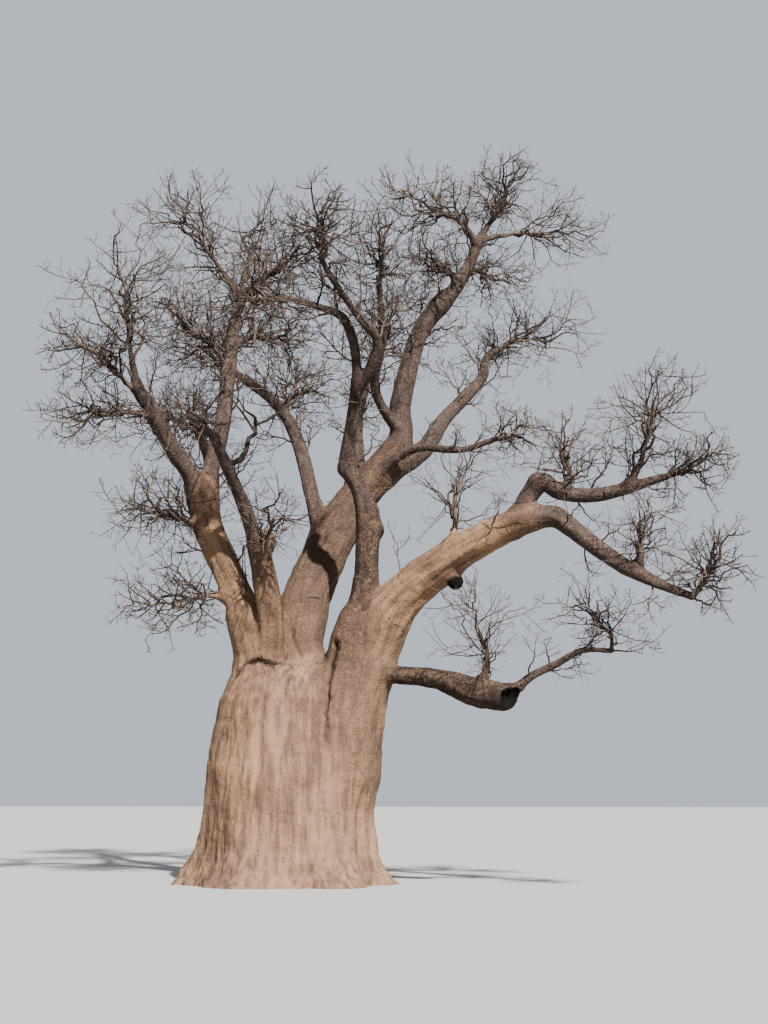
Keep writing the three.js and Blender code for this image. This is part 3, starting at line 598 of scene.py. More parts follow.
def bole_distance(points):
    """How far outside the bole points are."""
    height = points[:, 2]
    wide, deep, middle = bole_at(height)
    x, y = (points[:, 0] - middle) / wide, points[:, 1] / deep
    angle = np.arctan2(y, x)
    share = np.hypot(x, y) / toe_swell(angle, height)
    around = (share - 1) * np.sqrt((wide * np.cos(angle)) ** 2 + (deep * np.sin(angle)) ** 2)
    above = np.maximum(height - BOLE[-1][0], 0)
    return np.where(above > 0, np.hypot(np.maximum(around, 0), above), around)


def bole_field(points):
    """The same for the bole as limb_field gives for a limb."""
    step = 0.02
    here = bole_distance(points)
    slope = [(bole_distance(points + step * axis) - here) / step for axis in np.eye(3)]
    return here, unit(np.stack(slope, axis=1)), bole_at(points[:, 2])[0], points.copy()


def tree_field(points):
    """For every point: its distance from the bark, with the limbs run smoothly together, the way out, the
    wood's girth, the place along the grain, how far another limb is, the weathering with its painted light
    and shade, and how near each piece is."""
    count = len(points)
    every = np.arange(count)
    found = [(0, every, *bole_field(points))]
    for k, (_, path, radii) in enumerate(skin_courses, start=1):
        reach = radii.max() * LIMB_SPARE + FIELD_REACH
        inside = (points > path.min(0) - reach) & (points < path.max(0) + reach)
        near = np.flatnonzero(np.all(inside, axis=1))
        found.append((k, near, *limb_field(points[near], path, radii)))
    least = np.full(count, np.inf)
    second = np.full(count, np.inf)
    pieces = np.ones((len(BARK_PIECES), count))
    grain = np.zeros_like(points)
    for k, near, distance, _, _, here in found:
        owner = "trunk" if k == 0 else skin_courses[k - 1][0]
        piece = [owner in owners for owners in BARK_PIECES.values()].index(True)
        pieces[piece, near] = np.minimum(pieces[piece, near], distance)
        closer = distance < least[near]
        second[near] = np.where(closer, least[near], np.minimum(second[near], distance))
        least[near[closer]] = distance[closer]
        grain[near[closer]] = here[closer]
    weights = np.zeros(count)
    girth = np.zeros(count)
    age_and_shading = np.zeros(count)
    for k, near, distance, _, radius, _ in found:
        weight = np.exp(-(distance - least[near]) / SIZE_BLEND)
        weights[near] += weight
        girth[near] += weight * radius
        age_and_shading[near] += weight * course_age_and_shading[k]
    girth /= weights
    age_and_shading /= weights
    for middle, radius, _ in BURLS:
        offset = points - middle
        far = np.linalg.norm(offset, axis=1)
        near = np.flatnonzero(far < radius + BURL_REACH)
        found.append((0, near, far[near] - radius, offset[near] / far[near, None], None, None))
        least[near] = np.minimum(least[near], far[near] - radius)
    blend = np.clip(BLEND_SHARE * girth, BLEND_LEAST, BLEND_MOST)
    total = np.zeros(count)
    out = np.zeros_like(points)
    for _, near, distance, way, _, _ in found:
        weight = np.exp(-(distance - least[near]) / blend[near])
        total[near] += weight
        out[near] += weight[:, None] * way
    return least - blend * np.log(total), unit(out), girth, grain, second - least, age_and_shading, pieces


def wave(place, waves, lag=0.0):
    """A slow and a quick wave along a line."""
    return np.sin(waves[0] * place) + np.sin(waves[1] * place + lag)


def fold_depth(points, out):
    """How deep the folds go at points on the trunk's front, and how much painted shade darkens them."""
    depth = np.zeros(len(points))
    dark = np.zeros(len(points))
    across, up = points[:, 0], points[:, 2]
    wobble = np.stack([wave(up, WAVES_UP, 1.0), wave(across, WAVES_ACROSS)], axis=1)
    flat = np.stack([across, up], axis=1) + FOLD_WOBBLE * wobble
    facing = np.clip(-out[:, 1] * FOLD_FADE, 0, 1) * (points[:, 1] < FOLD_BACK)
    for line, half_width, deepest, darkest in FOLDS:
        far = np.full(len(points), np.inf)
        left = np.ones(len(points))
        for i, (a, b) in enumerate(zip(np.array(line[:-1]), np.array(line[1:]))):
            t = np.clip((flat - a) @ (b - a) / ((b - a) @ (b - a)), 0, 1)
            here = np.linalg.norm(flat - a - t[:, None] * (b - a), axis=1)
            left = np.where(here < far, 1 - (i + t) / (len(line) - 1), left)
            far = np.minimum(far, here)
        share = np.exp(-((far / half_width) ** 2)) * facing * np.clip(left * FOLD_FADE, 0, 1)
        depth = np.maximum(depth, share * deepest)
        dark = np.maximum(dark, share**2 * darkest)
    return depth, dark


def bark_field(points):
    """tree_field with the folds and the hollow carved in, and the painted shade in them and on the burls."""
    distance, out, girth, grain, spare, age_and_shading, pieces = tree_field(points)
    depth, dark = fold_depth(points, out)
    distance = distance + depth
    inward = HOLLOW_MIDDLE - points
    across, back, up = points.T
    waves = HOLLOW_WAVES
    ragged = np.sin(waves[0] * across + 3 * np.sin(waves[1] * up)) * np.sin(waves[2] * up + waves[3] * back)
    far = np.linalg.norm(inward, axis=1) * (1 + HOLLOW_RAGGED * ragged)
    carved = HOLLOW_RADIUS - far > distance
    distance[carved] = (HOLLOW_RADIUS - far)[carved]
    out[carved] = inward[carved] / far[carved, None]
    # Painted shade in the hollow and round its rim.
    dark = np.maximum(dark, np.clip((HOLLOW_RADIUS + HOLLOW_RIM - far) / HOLLOW_FADE, 0, 1))
    # Painted shade on the burls, as much as each one's darkness.
    for middle, radius, darkest in BURLS:
        inside = (radius + BURL_RIM - np.linalg.norm(points - middle, axis=1)) / BURL_RIM
        dark = np.maximum(dark, darkest * np.clip(inside, 0, 1))
    return distance, out, girth, grain, spare, age_and_shading, pieces, dark


def store(mesh, name, kind, values):
    """Writes a value for each of a mesh's points."""
    field = "vector" if kind == "FLOAT_VECTOR" else "value"
    values = np.asarray(values).astype(np.int32 if kind == "INT" else np.float32)
    mesh.attributes.new(name, kind, "POINT").data.foreach_set(field, values.ravel())


skin = rough_tree()
remesh = skin.modifiers.new("skin", "REMESH")
remesh.mode = "VOXEL"
remesh.voxel_size = SKIN_PITCH
skin = settled(skin, "skin")

for _ in range(SKIN_ROUNDS):
    points = points_of(skin.data)
    distance, out, *_ = bark_field(points)
    points -= out * np.clip(distance, -SKIN_STEP, SKIN_STEP)[:, None]
    skin.data.vertices.foreach_set("co", points.astype(np.float32).ravel())
    skin.data.update()
    even = skin.modifiers.new("even", "SMOOTH")
    even.factor = EVEN_FACTOR
    even.iterations = EVEN_ROUNDS
    skin = settled(skin, "skin")

*_, girth, grain, spare, age_and_shading, pieces, dark = bark_field(points_of(skin.data))
pieces -= np.array(PIECE_LEAD)[:, None]
ends = np.empty(len(skin.data.edges) * 2, np.int32)
skin.data.edges.foreach_get("vertices", ends)
ends = ends.reshape(-1, 2).T
met = np.bincount(ends.ravel(), minlength=len(girth))
for _ in range(PIECE_ROUNDS):
    for row in pieces:
        around = np.bincount(ends[0], row[ends[1]], len(row)) + np.bincount(ends[1], row[ends[0]], len(row))
        row[:] = (row + around / met) / 2
store(skin.data, "girth", "FLOAT", np.minimum(girth, GIRTH_MOST))
store(skin.data, "grain", "FLOAT_VECTOR", grain)
store(skin.data, "plain", "FLOAT", np.clip(spare / np.maximum(PLAIN_SHARE * girth, PLAIN_LEAST), 0, 1))
# The painted shade of the folds, the hollow and the burls.
store(skin.data, "dark", "FLOAT", dark)
store(skin.data, "age_and_shading", "FLOAT", age_and_shading)
store(skin.data, "piece", "INT", pieces.argmin(axis=0))


def add_node(tree, kind, inputs=None, **settings):
    """A new node, with its settings, and its inputs linked or set."""
    made = tree.nodes.new(kind)
    for name, value in settings.items():
        setattr(made, name, value)
    for name, value in (inputs or {}).items():
        if isinstance(value, bpy.types.NodeSocket):
            tree.links.new(value, made.inputs[name])
        else:
            made.inputs[name].default_value = value
    return made


def calc(tree, operation, *values):
    """The result of a sum on numbers."""
    return add_node(tree, "ShaderNodeMath", dict(enumerate(values)), operation=operation).outputs[0]


def product(tree, first, *others):
    """Numbers multiplied together."""
    for other in others:
        first = calc(tree, "MULTIPLY", first, other)
    return first


def stored(tree, name, kind="FLOAT"):
    """A stored attribute in a Geometry Nodes tree."""
    made = add_node(tree, "GeometryNodeInputNamedAttribute", {"Name": name}, data_type=kind)
    return made.outputs["Attribute"]


def nodes_tree(name, **sizes):
    """A Geometry Nodes tree with a geometry in and out and named sizes, and its two end nodes."""
    tree = bpy.data.node_groups.new(name, "GeometryNodeTree")
    tree.interface.new_socket("Geometry", in_out="INPUT", socket_type="NodeSocketGeometry")
    tree.interface.new_socket("Geometry", in_out="OUTPUT", socket_type="NodeSocketGeometry")
    for size, value in sizes.items():
        kind = "NodeSocketInt" if isinstance(value, int) else "NodeSocketFloat"
        tree.interface.new_socket(size, in_out="INPUT", socket_type=kind).default_value = value
    return tree, tree.nodes.new("NodeGroupInput"), tree.nodes.new("NodeGroupOutput")


def run_nodes(made, tree, name, **sizes):
    """The plain mesh object that a Geometry Nodes tree makes of an object."""
    modifier = made.modifiers.new(name, "NODES")
    modifier.node_group = tree
    for item in tree.interface.items_tree:
        if item.in_out == "INPUT" and item.name in sizes:
            modifier[item.identifier] = sizes[item.name]
    return settled(made, name)


def noise(tree, vector, scale=1.0, detail=2.0, seed=0.0, rough=0.5):
    """Noise about 0, in a field that is told apart by its seed."""
    inputs = {"Vector": vector, "W": seed, "Scale": scale, "Detail": detail, "Roughness": rough}
    made = add_node(tree, "ShaderNodeTexNoise", inputs, noise_dimensions="4D")
    return calc(tree, "SUBTRACT", made.outputs[0], 0.5)


def stretched(tree, vector, sizes):
    """A vector with each part multiplied."""
    inputs = {0: vector, 1: sizes}
    return add_node(tree, "ShaderNodeVectorMath", inputs, operation="MULTIPLY").outputs[0]


# How deep each kind of relief is, how high up the trunk its flutes reach, and the seed of them all.
RELIEF = {
    "lumps": 0.32, "knots": 0.085, "wrinkles": 0.018, "ridges": 0.62,
    "flutes": 0.15, "flute_top": 6.4, "Seed": 3,
}
# The power of the girth that lumps, knots and ridges grow with, and how soon the flutes fade at their top.
GROWTH = 0.8
FLUTE_FADE = 0.5

relief, relief_in, relief_out = nodes_tree("bark_relief", **RELIEF)
sizes = relief_in.outputs
seed = sizes["Seed"]
place = add_node(relief, "GeometryNodeInputPosition").outputs[0]
along = stored(relief, "grain", "FLOAT_VECTOR")
clear = stored(relief, "plain")
growth = calc(relief, "POWER", stored(relief, "girth"), GROWTH)
lumps = product(relief, noise(relief, place, scale=0.9, seed=seed), sizes["lumps"])
knots = product(relief, noise(relief, place, scale=3.4, seed=seed), sizes["knots"])
swell = product(relief, calc(relief, "ADD", lumps, knots), growth)
rings = noise(relief, stretched(relief, along, (1.1, 1.1, 7.0)), detail=3.0, seed=seed)
rings = product(relief, rings, sizes["wrinkles"], clear)
ridges = noise(relief, stretched(relief, along, (2.6, 2.6, 0.28)), seed=seed)
ridges = product(relief, ridges, sizes["ridges"], clear, growth)
flutes = noise(relief, stretched(relief, place, (1.0, 1.0, 0.12)), scale=2.1, seed=seed)
height = add_node(relief, "ShaderNodeSeparateXYZ", {0: place}).outputs["Z"]
low = product(relief, calc(relief, "SUBTRACT", sizes["flute_top"], height), FLUTE_FADE)
low = add_node(relief, "ShaderNodeClamp", {0: low}).outputs[0]
flutes = product(relief, flutes, sizes["flutes"], low)
total = calc(relief, "ADD", calc(relief, "ADD", swell, rings), calc(relief, "ADD", ridges, flutes))
outward = add_node(relief, "GeometryNodeInputNormal").outputs[0]
push = add_node(relief, "ShaderNodeVectorMath", {0: outward, "Scale": total}, operation="SCALE").outputs[0]
inputs = {"Geometry": relief_in.outputs["Geometry"], "Offset": push}
moved = add_node(relief, "GeometryNodeSetPosition", inputs)
relief.links.new(moved.outputs[0], relief_out.inputs[0])
skin = run_nodes(skin, relief, "skin", **RELIEF)


# Cut at the ground and laid into pieces
# The skin ends in a flat face on the ground. It is laid into three closed pieces of matt bark: that of the
# trunk, that of the stems and arms that grow from it, and that of the boughs, which are greyer.
BARK_SLOTS = {"trunk_bark": "trunk_bark", "stem_bark": "trunk_bark", "bough_bark": "bough_bark"}
BARK_COLOURS = {
    # name: pale, middle and deep bark
    "trunk_bark": [(0.184, 0.109, 0.0635, 1), (0.0785, 0.0475, 0.031, 1), (0.0175, 0.0115, 0.009, 1)],
    "bough_bark": [(0.135, 0.089, 0.067, 1), (0.0655, 0.0435, 0.034, 1), (0.0125, 0.0087, 0.0075, 1)],
}
# The near black of the painted shade in the folds, the hollow and on the dark burls.
PAINTED_SHADE_COLOUR = (0.0018, 0.0013, 0.001, 1)
BARK_ROUGHNESS = 0.87
BARK_SHINE = 0.08
SPECK_SHARE = 0.5
PAINTED_SHADE_SHARE = 1.3
BUMP_STRENGTH = 0.55
BUMP_DEPTH = 0.05

cut = bmesh.new()
cut.from_mesh(skin.data)
everything = [*cut.verts, *cut.edges, *cut.faces]
bmesh.ops.bisect_plane(cut, geom=everything, plane_co=(0, 0, 0), plane_no=(0, 0, -1), clear_outer=True)
rim = [edge for edge in cut.edges if edge.is_boundary]
bmesh.ops.holes_fill(cut, edges=rim, sides=0)
for edge in rim:
    edge.smooth = False
cut.to_mesh(skin.data)
cut.free()


def matt_finish(name, roughness, shine, colour=None):
    """A matt material of one colour, or of one that is linked later."""
    material = bpy.data.materials.new(name)
    material.use_nodes = True
    sockets = material.node_tree.nodes["Principled BSDF"].inputs
    sockets["Roughness"].default_value = roughness
    sockets["Specular IOR Level"].default_value = shine
    if colour:
        sockets["Base Color"].default_value = colour
    return material


def clamped(tree, value):
    """A value held between 0 and 1."""
    return add_node(tree, "ShaderNodeClamp", {0: value}).outputs[0]


def mix_colour(tree, share, first, second):
    """A colour between two."""
    inputs = {0: clamped(tree, share), 6: first, 7: second}
    return add_node(tree, "ShaderNodeMix", inputs, data_type="RGBA").outputs[2]


def weighed(tree, base, *patterns):
    """A base value with patterns added, each by its weight."""
    for pattern, weight in patterns:
        base = calc(tree, "MULTIPLY_ADD", pattern, weight, base)
    return base


def bark_finish(name, pale, middle, deep):
    """Matt bark: pale and mid patches, streaks along the grain, dark pits, painted shade in the folds, the
    hollow and on the burls, and aged limbs, which carry painted shade and light too.
    """
    material = matt_finish(name, BARK_ROUGHNESS, BARK_SHINE)
    tree = material.node_tree
    shader = tree.nodes["Principled BSDF"]
    place = add_node(tree, "ShaderNodeTexCoord").outputs["Object"]
    grain = add_node(tree, "ShaderNodeAttribute", attribute_name="grain").outputs["Vector"]
    # Painted shade in the folds, the hollow and on the dark burls, as stored in the skin.
    folds = add_node(tree, "ShaderNodeAttribute", attribute_name="dark").outputs["Fac"]
    age_and_shading = add_node(tree, "ShaderNodeAttribute", attribute_name="age_and_shading").outputs["Fac"]
    patches = noise(tree, place, scale=0.6, detail=3.0, seed=1.0)
    streaks = noise(tree, stretched(tree, grain, (6.5, 6.5, 0.42)), detail=4.0, seed=2.0, rough=0.6)
    blotches = noise(tree, stretched(tree, grain, (5.0, 5.0, 2.6)), detail=4.0, seed=3.0, rough=0.68)
    pits = noise(tree, place, scale=17.0, detail=3.0, seed=4.0, rough=0.6)
    wrinkles = noise(tree, stretched(tree, grain, (5.0, 5.0, 12.0)), detail=3.0, seed=5.0)
    # Weathering pales or darkens the bark, and for some limbs it carries painted light and shade.
    paleness = weighed(tree, 0.58, (age_and_shading, -0.55), (patches, 2.2), (streaks, 3.6), (blotches, 1.2))
    mottle = clamped(tree, weighed(tree, 0.78, (streaks, 1.4), (blotches, 2.6), (pits, 2.4)))
    speck = clamped(tree, weighed(tree, 0.0, (blotches, -2.0), (pits, 3.0)))
    colour = mix_colour(tree, paleness, middle, pale)
    colour = mix_colour(tree, product(tree, mottle, age_and_shading), colour, deep)
    colour = mix_colour(tree, product(tree, speck, SPECK_SHARE), colour, deep)
    colour = mix_colour(tree, product(tree, folds, PAINTED_SHADE_SHARE), colour, PAINTED_SHADE_COLOUR)
    tree.links.new(colour, shader.inputs["Base Color"])
    height = weighed(tree, 0.0, (wrinkles, 0.6), (blotches, 1.2), (streaks, 1.2), (pits, 0.8))
    inputs = {"Height": height, "Strength": BUMP_STRENGTH, "Distance": BUMP_DEPTH}
    bump = add_node(tree, "ShaderNodeBump", inputs)
    tree.links.new(bump.outputs[0], shader.inputs["Normal"])
    return material


def bark_piece(name, number):
    """One piece of the skin, with its cut edges closed."""
    part = bmesh.new()
    part.from_mesh(skin.data)
    layer = part.verts.layers.int["piece"]
    gone = [face for face in part.faces if face.verts[0][layer] != number]
    bmesh.ops.delete(part, geom=gone, context="FACES")
    rim = [edge for edge in part.edges if edge.is_boundary]
    caps = bmesh.ops.holes_fill(part, edges=rim, sides=0)["faces"]
    for edge in rim:
        edge.smooth = False
    for face in part.faces:
        face.smooth = True
    bmesh.ops.triangulate(part, faces=caps)
    mesh = bpy.data.meshes.new(name)
    part.to_mesh(mesh)
    part.free()
    return placed(name, mesh)


finishes = {name: bark_finish(name, *colours) for name, colours in BARK_COLOURS.items()}
for number, (name, owners) in enumerate(BARK_PIECES.items()):
    piece = bark_piece(name, number)
    piece.data.materials.append(finishes[BARK_SLOTS[name]])
    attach(piece, "root")
    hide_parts(*owners)
bpy.data.objects.remove(skin)


# Twigs
# Stout, leafless twigs in grey-brown skin, which turn up at their tips. Each mass's stem divides into
# branches that fan out to the edge of its own space, and more branches stand straight off the boughs. All of
# them divide into crooked side twigs, three times over.
GOLDEN_ANGLE = math.pi * (3 - math.sqrt(5))
NUMBER_STEP = 16
# The numbers of the seeded draws. Those that knock a smoothed path out of line start at 100, three a point.
DRAWS = {
    "turn": 2, "branch_foot": 3, "branch_length": 4, "side_twig_foot": 4, "side_twig_turn": 5,
    "shoot_foot": 6, "shoot_turn": 7, "shoot_lean": 8, "shoot_length": 9, "shoot_kept": 12,
    "bough_foot": 1, "bough_turn": 2, "bough_length": 3, "tone": 21, "gnarl": 100,
}
BRANCH_SPANS = 3
BRANCH_CROOK = 0.1
BRANCH_RISE = 0.3
# The shares of the way to the edge of its space that a branch tries to reach, the longest first.
BRANCH_TRIES = [0.97, 0.85, 0.7, 0.55]
# Where on its stem a branch leaves: the further ahead it points, the further along, less a seeded part.
BRANCH_FOOT = {"middle": 0.6, "ahead": 0.4, "seeded": 0.15, "least": 0.3}
# By how much twigs stay out of the next mass's space, how far side twigs may mingle with that mass's all the
# same, and how clear of a limb they all are.
SPACE_MARGIN = 0.03
MINGLE = 0.3
LIMB_CLEARANCE = 0.03
# The radius of a side twig's tip, as a share of its foot's.
TIP_SHARE = 0.5
# Towards the middle of the crown, side twigs may fill this factor of their mass's space.
INWARD = 1.65
CROWN_MIDDLE = np.array((1.2, 0.2, 12.5))
# The corners of the box that no twig leaves.
CROWN_LOW = np.array((-7.1, -7.6, 0.2))
CROWN_HIGH = np.array((11.95, 9.25, 21.7))
# How many points of twigs are tested for room at once.
ROOM_BATCH = 20000

# Twigs of one level, in arrays: each one's mass, number, path, radius at its foot and at its tip, and the
# factor of the mass's space that its side twigs may fill.
Twigs = namedtuple("Twigs", "mass number path thick tip room")
seeds = np.arange(len(MASSES))
mass_far = np.linalg.norm(mass_middle - CROWN_MIDDLE, axis=1)

limb_points = []
limb_radii = []
for path, radii in limb_courses.values():
    limb_points += [path, (path + np.vstack([path[1:], path[-1:]])) / 2]
    limb_radii += [radii, radii]
limb_points = np.vstack(limb_points)
limb_radii = np.concatenate(limb_radii)


# The skew direction from which the sides of twigs are found.
ASKEW = (0.31, 0.17, 1.0)


def sides_of(along):
    """Two directions square to each direction and to each other."""
    side = unit(np.cross(ASKEW, along))
    return side, np.cross(along, side)


def has_room(mass, paths, thick, room, inward, mingle):
    """Whether twigs stay clear of the limbs, inside the crown's box and in their masses' own spaces, which
    are made larger by room, by inward inside the crown and by mingle towards the next mass."""
    free = paths[:, 1:].reshape(-1, 3)
    of_mass, of_thick, of_room = (np.repeat(of, paths.shape[1] - 1) for of in (mass, thick, room))
    good = np.empty(len(free), bool)
    for start in range(0, len(free), ROOM_BATCH):
        part = slice(start, start + ROOM_BATCH)
        points = free[part]
        every = np.arange(len(points))
        shares = np.linalg.norm((points[:, None] - mass_middle) / mass_half, axis=2)
        own = shares[every, of_mass[part]]
        shares[every, of_mass[part]] = np.inf
        inner = np.linalg.norm(points - CROWN_MIDDLE, axis=1) < mass_far[of_mass[part]]
        most = np.maximum(np.where(inner, inward, 1.0), of_room[part])
        reach = limb_radii + of_thick[part][:, None] + LIMB_CLEARANCE
        square = (points**2).sum(1)[:, None] - 2 * points @ limb_points.T + (limb_points**2).sum(1)
        apart = (shares.min(1) > own + SPACE_MARGIN - mingle) | (own > 1)
        inside = np.all((points > CROWN_LOW) & (points < CROWN_HIGH), axis=1)
        good[part] = (own <= most) & apart & inside & np.all(square >= reach**2, axis=1)
    return good.reshape(len(paths), -1).all(axis=1)


def joined(groups):
    """Groups of twigs as one."""
    return Twigs(*(np.concatenate(parts) for parts in zip(*groups)))


def first_that_fits(twigs, paths, widest, left=True, inward=1.0, mingle=0.0):
    """Twigs, each with the first of several paths that has room. One with no such path is left out."""
    made = []
    for path in paths:
        fits = left & has_room(twigs.mass, path, widest, twigs.room, inward, mingle)
        left = left & ~fits
        made.append(Twigs(*(values[fits] for values in twigs._replace(path=path))))
    return joined(made)


def seeded(parts, mass, number, draw):
    """A steady part and a seeded one, added."""
    return parts[0] + parts[1] * chance(mass, number, DRAWS[draw])


def seeded_turn(mass, number, draw):
    """A seeded part of a full turn."""
    return chance(mass, number, DRAWS[draw]) * 2 * math.pi


def branches(count, first_number, last_ahead, thick, tip, first_ahead=1.0, turned=0.0, vary=0.0, room=1.0,
             crook=BRANCH_CROOK, lowest=BRANCH_FOOT["least"]):
    """Branches that fan out from the stems, each turned by the golden angle from the one before and leaving
    the stem further back. One that has no room is tried again shorter."""
    forward = unit(mass_middle - stem_paths[:, 0])
    side, other = sides_of(forward)
    turn = seeded_turn(seeds, STEM_NUMBER, "turn") + turned
    numbers, rooms, widest = (np.full(len(seeds), value) for value in (first_number, room, thick))
    least = BRANCH_FOOT["least"]
    made = []
    for j in range(count):
        twigs = Twigs(seeds, numbers + j, None, thick * fullness, tip * fullness, rooms)
        ahead = first_ahead - (first_ahead - last_ahead) * j / (count - 1)
        across = math.sqrt(1 - ahead * ahead)
        angle = (turn + j * GOLDEN_ANGLE)[:, None]
        out = forward * ahead + side * across * np.cos(angle) + other * across * np.sin(angle)
        back = BRANCH_FOOT["seeded"] * chance(seeds, twigs.number, DRAWS["branch_foot"])
        share = np.clip(BRANCH_FOOT["middle"] + BRANCH_FOOT["ahead"] * ahead - back, least, 1)
        share = lowest + (share - least) * (1 - lowest) / (1 - least)
        point, along = place_on(stem_paths, share)
        heading = unit(along + np.array((0, 0, BRANCH_RISE)))
        longer = 1 + vary * (2 * chance(seeds, twigs.number, DRAWS["branch_length"]) - 1)
        paths = []
        for reach in BRANCH_TRIES:
            end = mass_middle + out * mass_half * (reach * longer)[:, None]
            paths.append(crooked_paths(point, heading, end, BRANCH_SPANS, crook, seeds, twigs.number))
        made.append(first_that_fits(twigs, paths, widest))
    return joined(made)


def wander(point, heading, step, spans, crook, lift, mass, number):
    """Crooked paths that set off along heading and turn upwards."""
    points = [point]
    for i in range(1, spans + 1):
        heading = unit(unit(heading) + nudge(mass, number, CROOK_DRAW + 3 * i, np.full(len(mass), crook)))
        heading = unit(heading + np.array((0, 0, lift)) * (i > 1))
        points.append(points[-1] + heading * step[:, None])
    return np.stack(points, axis=1)


def side_twigs(parents, spans, length_share, spread, lift, crook, foot):
    """The source's one side twig of each branch, which stands off it part way along and turns upwards."""
    mass, number = parents.mass, parents.number * NUMBER_STEP
    length = np.linalg.norm(parents.path[:, -1] - parents.path[:, 0], axis=1)
    share = seeded(foot, mass, number, "side_twig_foot")
    point, along = place_on(parents.path, share)
    side, other = sides_of(along)
    angle = seeded_turn(mass, number, "side_twig_turn")[:, None]
    heading = along * math.cos(spread) + (side * np.cos(angle) + other * np.sin(angle)) * math.sin(spread)
    heading = heading + np.array((0, 0, lift))
    path = wander(point, heading, length * length_share / spans, spans, crook, 0.0, mass, number)
    thick = parents.thick * (1 - share)
    twigs = Twigs(mass, number, None, thick, thick * TIP_SHARE, parents.room)
    return first_that_fits(twigs, [path], thick)


# The shares of its full length at which a shoot is tried, the longest first.
SHOOT_TRIES = [1.0, 0.62, 0.36]
# The last place for a shoot's foot, and a steady and a seeded part of its place, its lean and its length.
# Its length is made less towards its parent's tip.
LAST_FOOT = 0.99
SHOOT_FOOT = (0.2, 0.8)
SHOOT_LEAN = (0.75, 0.5)
SHOOT_LENGTH = (0.6, 0.8)
SHORTENING = (1.1, -0.35)


def offshoots(parents, count, start, spread, length_share, spans, crook, lift, thick_share, least):
    """Shoots that stand off twigs all the way along, turned round them by the golden angle. One that has no
    room is tried again shorter."""
    which = np.repeat(np.arange(len(parents.mass)), count)
    turn_number = np.tile(np.arange(count), len(parents.mass))
    mass = parents.mass[which]
    number = parents.number[which] * NUMBER_STEP + turn_number + 1
    foot = turn_number + seeded(SHOOT_FOOT, mass, number, "shoot_foot")
    share = start + (LAST_FOOT - start) * foot / count
    point, along = place_on(parents.path[which], share)
    side, other = sides_of(along)
    turn = seeded_turn(parents.mass, parents.number, "shoot_turn")[which] + turn_number * GOLDEN_ANGLE
    lean = spread * seeded(SHOOT_LEAN, mass, number, "shoot_lean")
    round_it = side * np.cos(turn)[:, None] + other * np.sin(turn)[:, None]
    heading = along * np.cos(lean)[:, None] + round_it * np.sin(lean)[:, None]
    whole = np.linalg.norm(np.diff(parents.path, axis=1), axis=2).sum(axis=1)[which]
    length = whole * length_share * (SHORTENING[0] + SHORTENING[1] * share)
    length = length * seeded(SHOOT_LENGTH, mass, number, "shoot_length")
    here = parents.thick[which] + (parents.tip - parents.thick)[which] * share
    thick = np.maximum(here * thick_share, least * fullness[mass])
    tip = np.maximum(thick * TIP_SHARE, least * fullness[mass])
    steps = [length * shorter / spans for shorter in SHOOT_TRIES]
    paths = [wander(point, heading, step, spans, crook, lift, mass, number) for step in steps]
    left = chance(mass, number, DRAWS["shoot_kept"]) < fullness[mass]
    twigs = Twigs(mass, number, None, thick, tip, parents.room[which])
    return first_that_fits(twigs, paths, thick, left, INWARD, MINGLE)


# The limbs that bear branches straight off them.
LEAFY = {
    # limb: (the share of its length from which it bears branches, up to which, how many, their length)
    "left_stem": (0.2, 0.95, 10, 1.15),
    "centre_stem": (0.3, 0.9, 4, 0.7),
    "great_arm": (0.15, 0.9, 5, 0.6),
    "back_left_bough": (0.5, 1.0, 10, 1.3),
    "left_outer_bough": (0.4, 1.0, 8, 1.2),
    "left_tall_bough": (0.3, 1.0, 18, 1.4),
    "middle_stem": (0.7, 1.0, 3, 0.8),
    "middle_bough": (0.3, 1.0, 4, 1.0),
    "right_tall_bough": (0.5, 1.0, 6, 1.1),
    "front_left_bough": (0.15, 1.0, 9, 1.0),
    "front_right_bough": (0.15, 1.0, 9, 1.1),
    "leader": (0.3, 1.0, 14, 1.3),
    "leader_side_bough": (0.1, 1.0, 12, 1.1),
    "leader_top": (0.0, 1.0, 9, 1.2),
    "arching_bough": (0.25, 1.0, 14, 1.3),
    "back_bough": (0.3, 1.0, 12, 1.4),
    "right_bough": (0.3, 1.0, 15, 1.1),
    "thin_bough": (0.25, 1.0, 9, 0.9),
    "upper_arm": (0.25, 1.0, 11, 1.0),
    "lower_arm": (0.3, 1.0, 10, 0.9),
    "low_arm_end": (0.15, 1.0, 7, 0.9),
}
# By what factor of a mass's space such a branch may grow, and how it grows.
LIMB_REACH = 2.6
BOUGH_SPANS = 5
BOUGH_TRIES = [1.0, 0.75, 0.5]
BOUGH_FOOT = 0.8
BOUGH_LENGTH = (0.55, 0.9)
BOUGH_AHEAD = 0.7
BOUGH_RISE = 0.35
BOUGH_CROOK = 0.24
BOUGH_LIFT = 0.12
TIP_TURN = 0.1
# The first point of such a branch stands clear of the limb by a margin, and its lean brings it nearer again.
FIRST_MARGIN = 0.06
FIRST_LEAN = 0.75
SHORTEST_STEP = 0.1
LIMB_NUMBER_STEP = 40


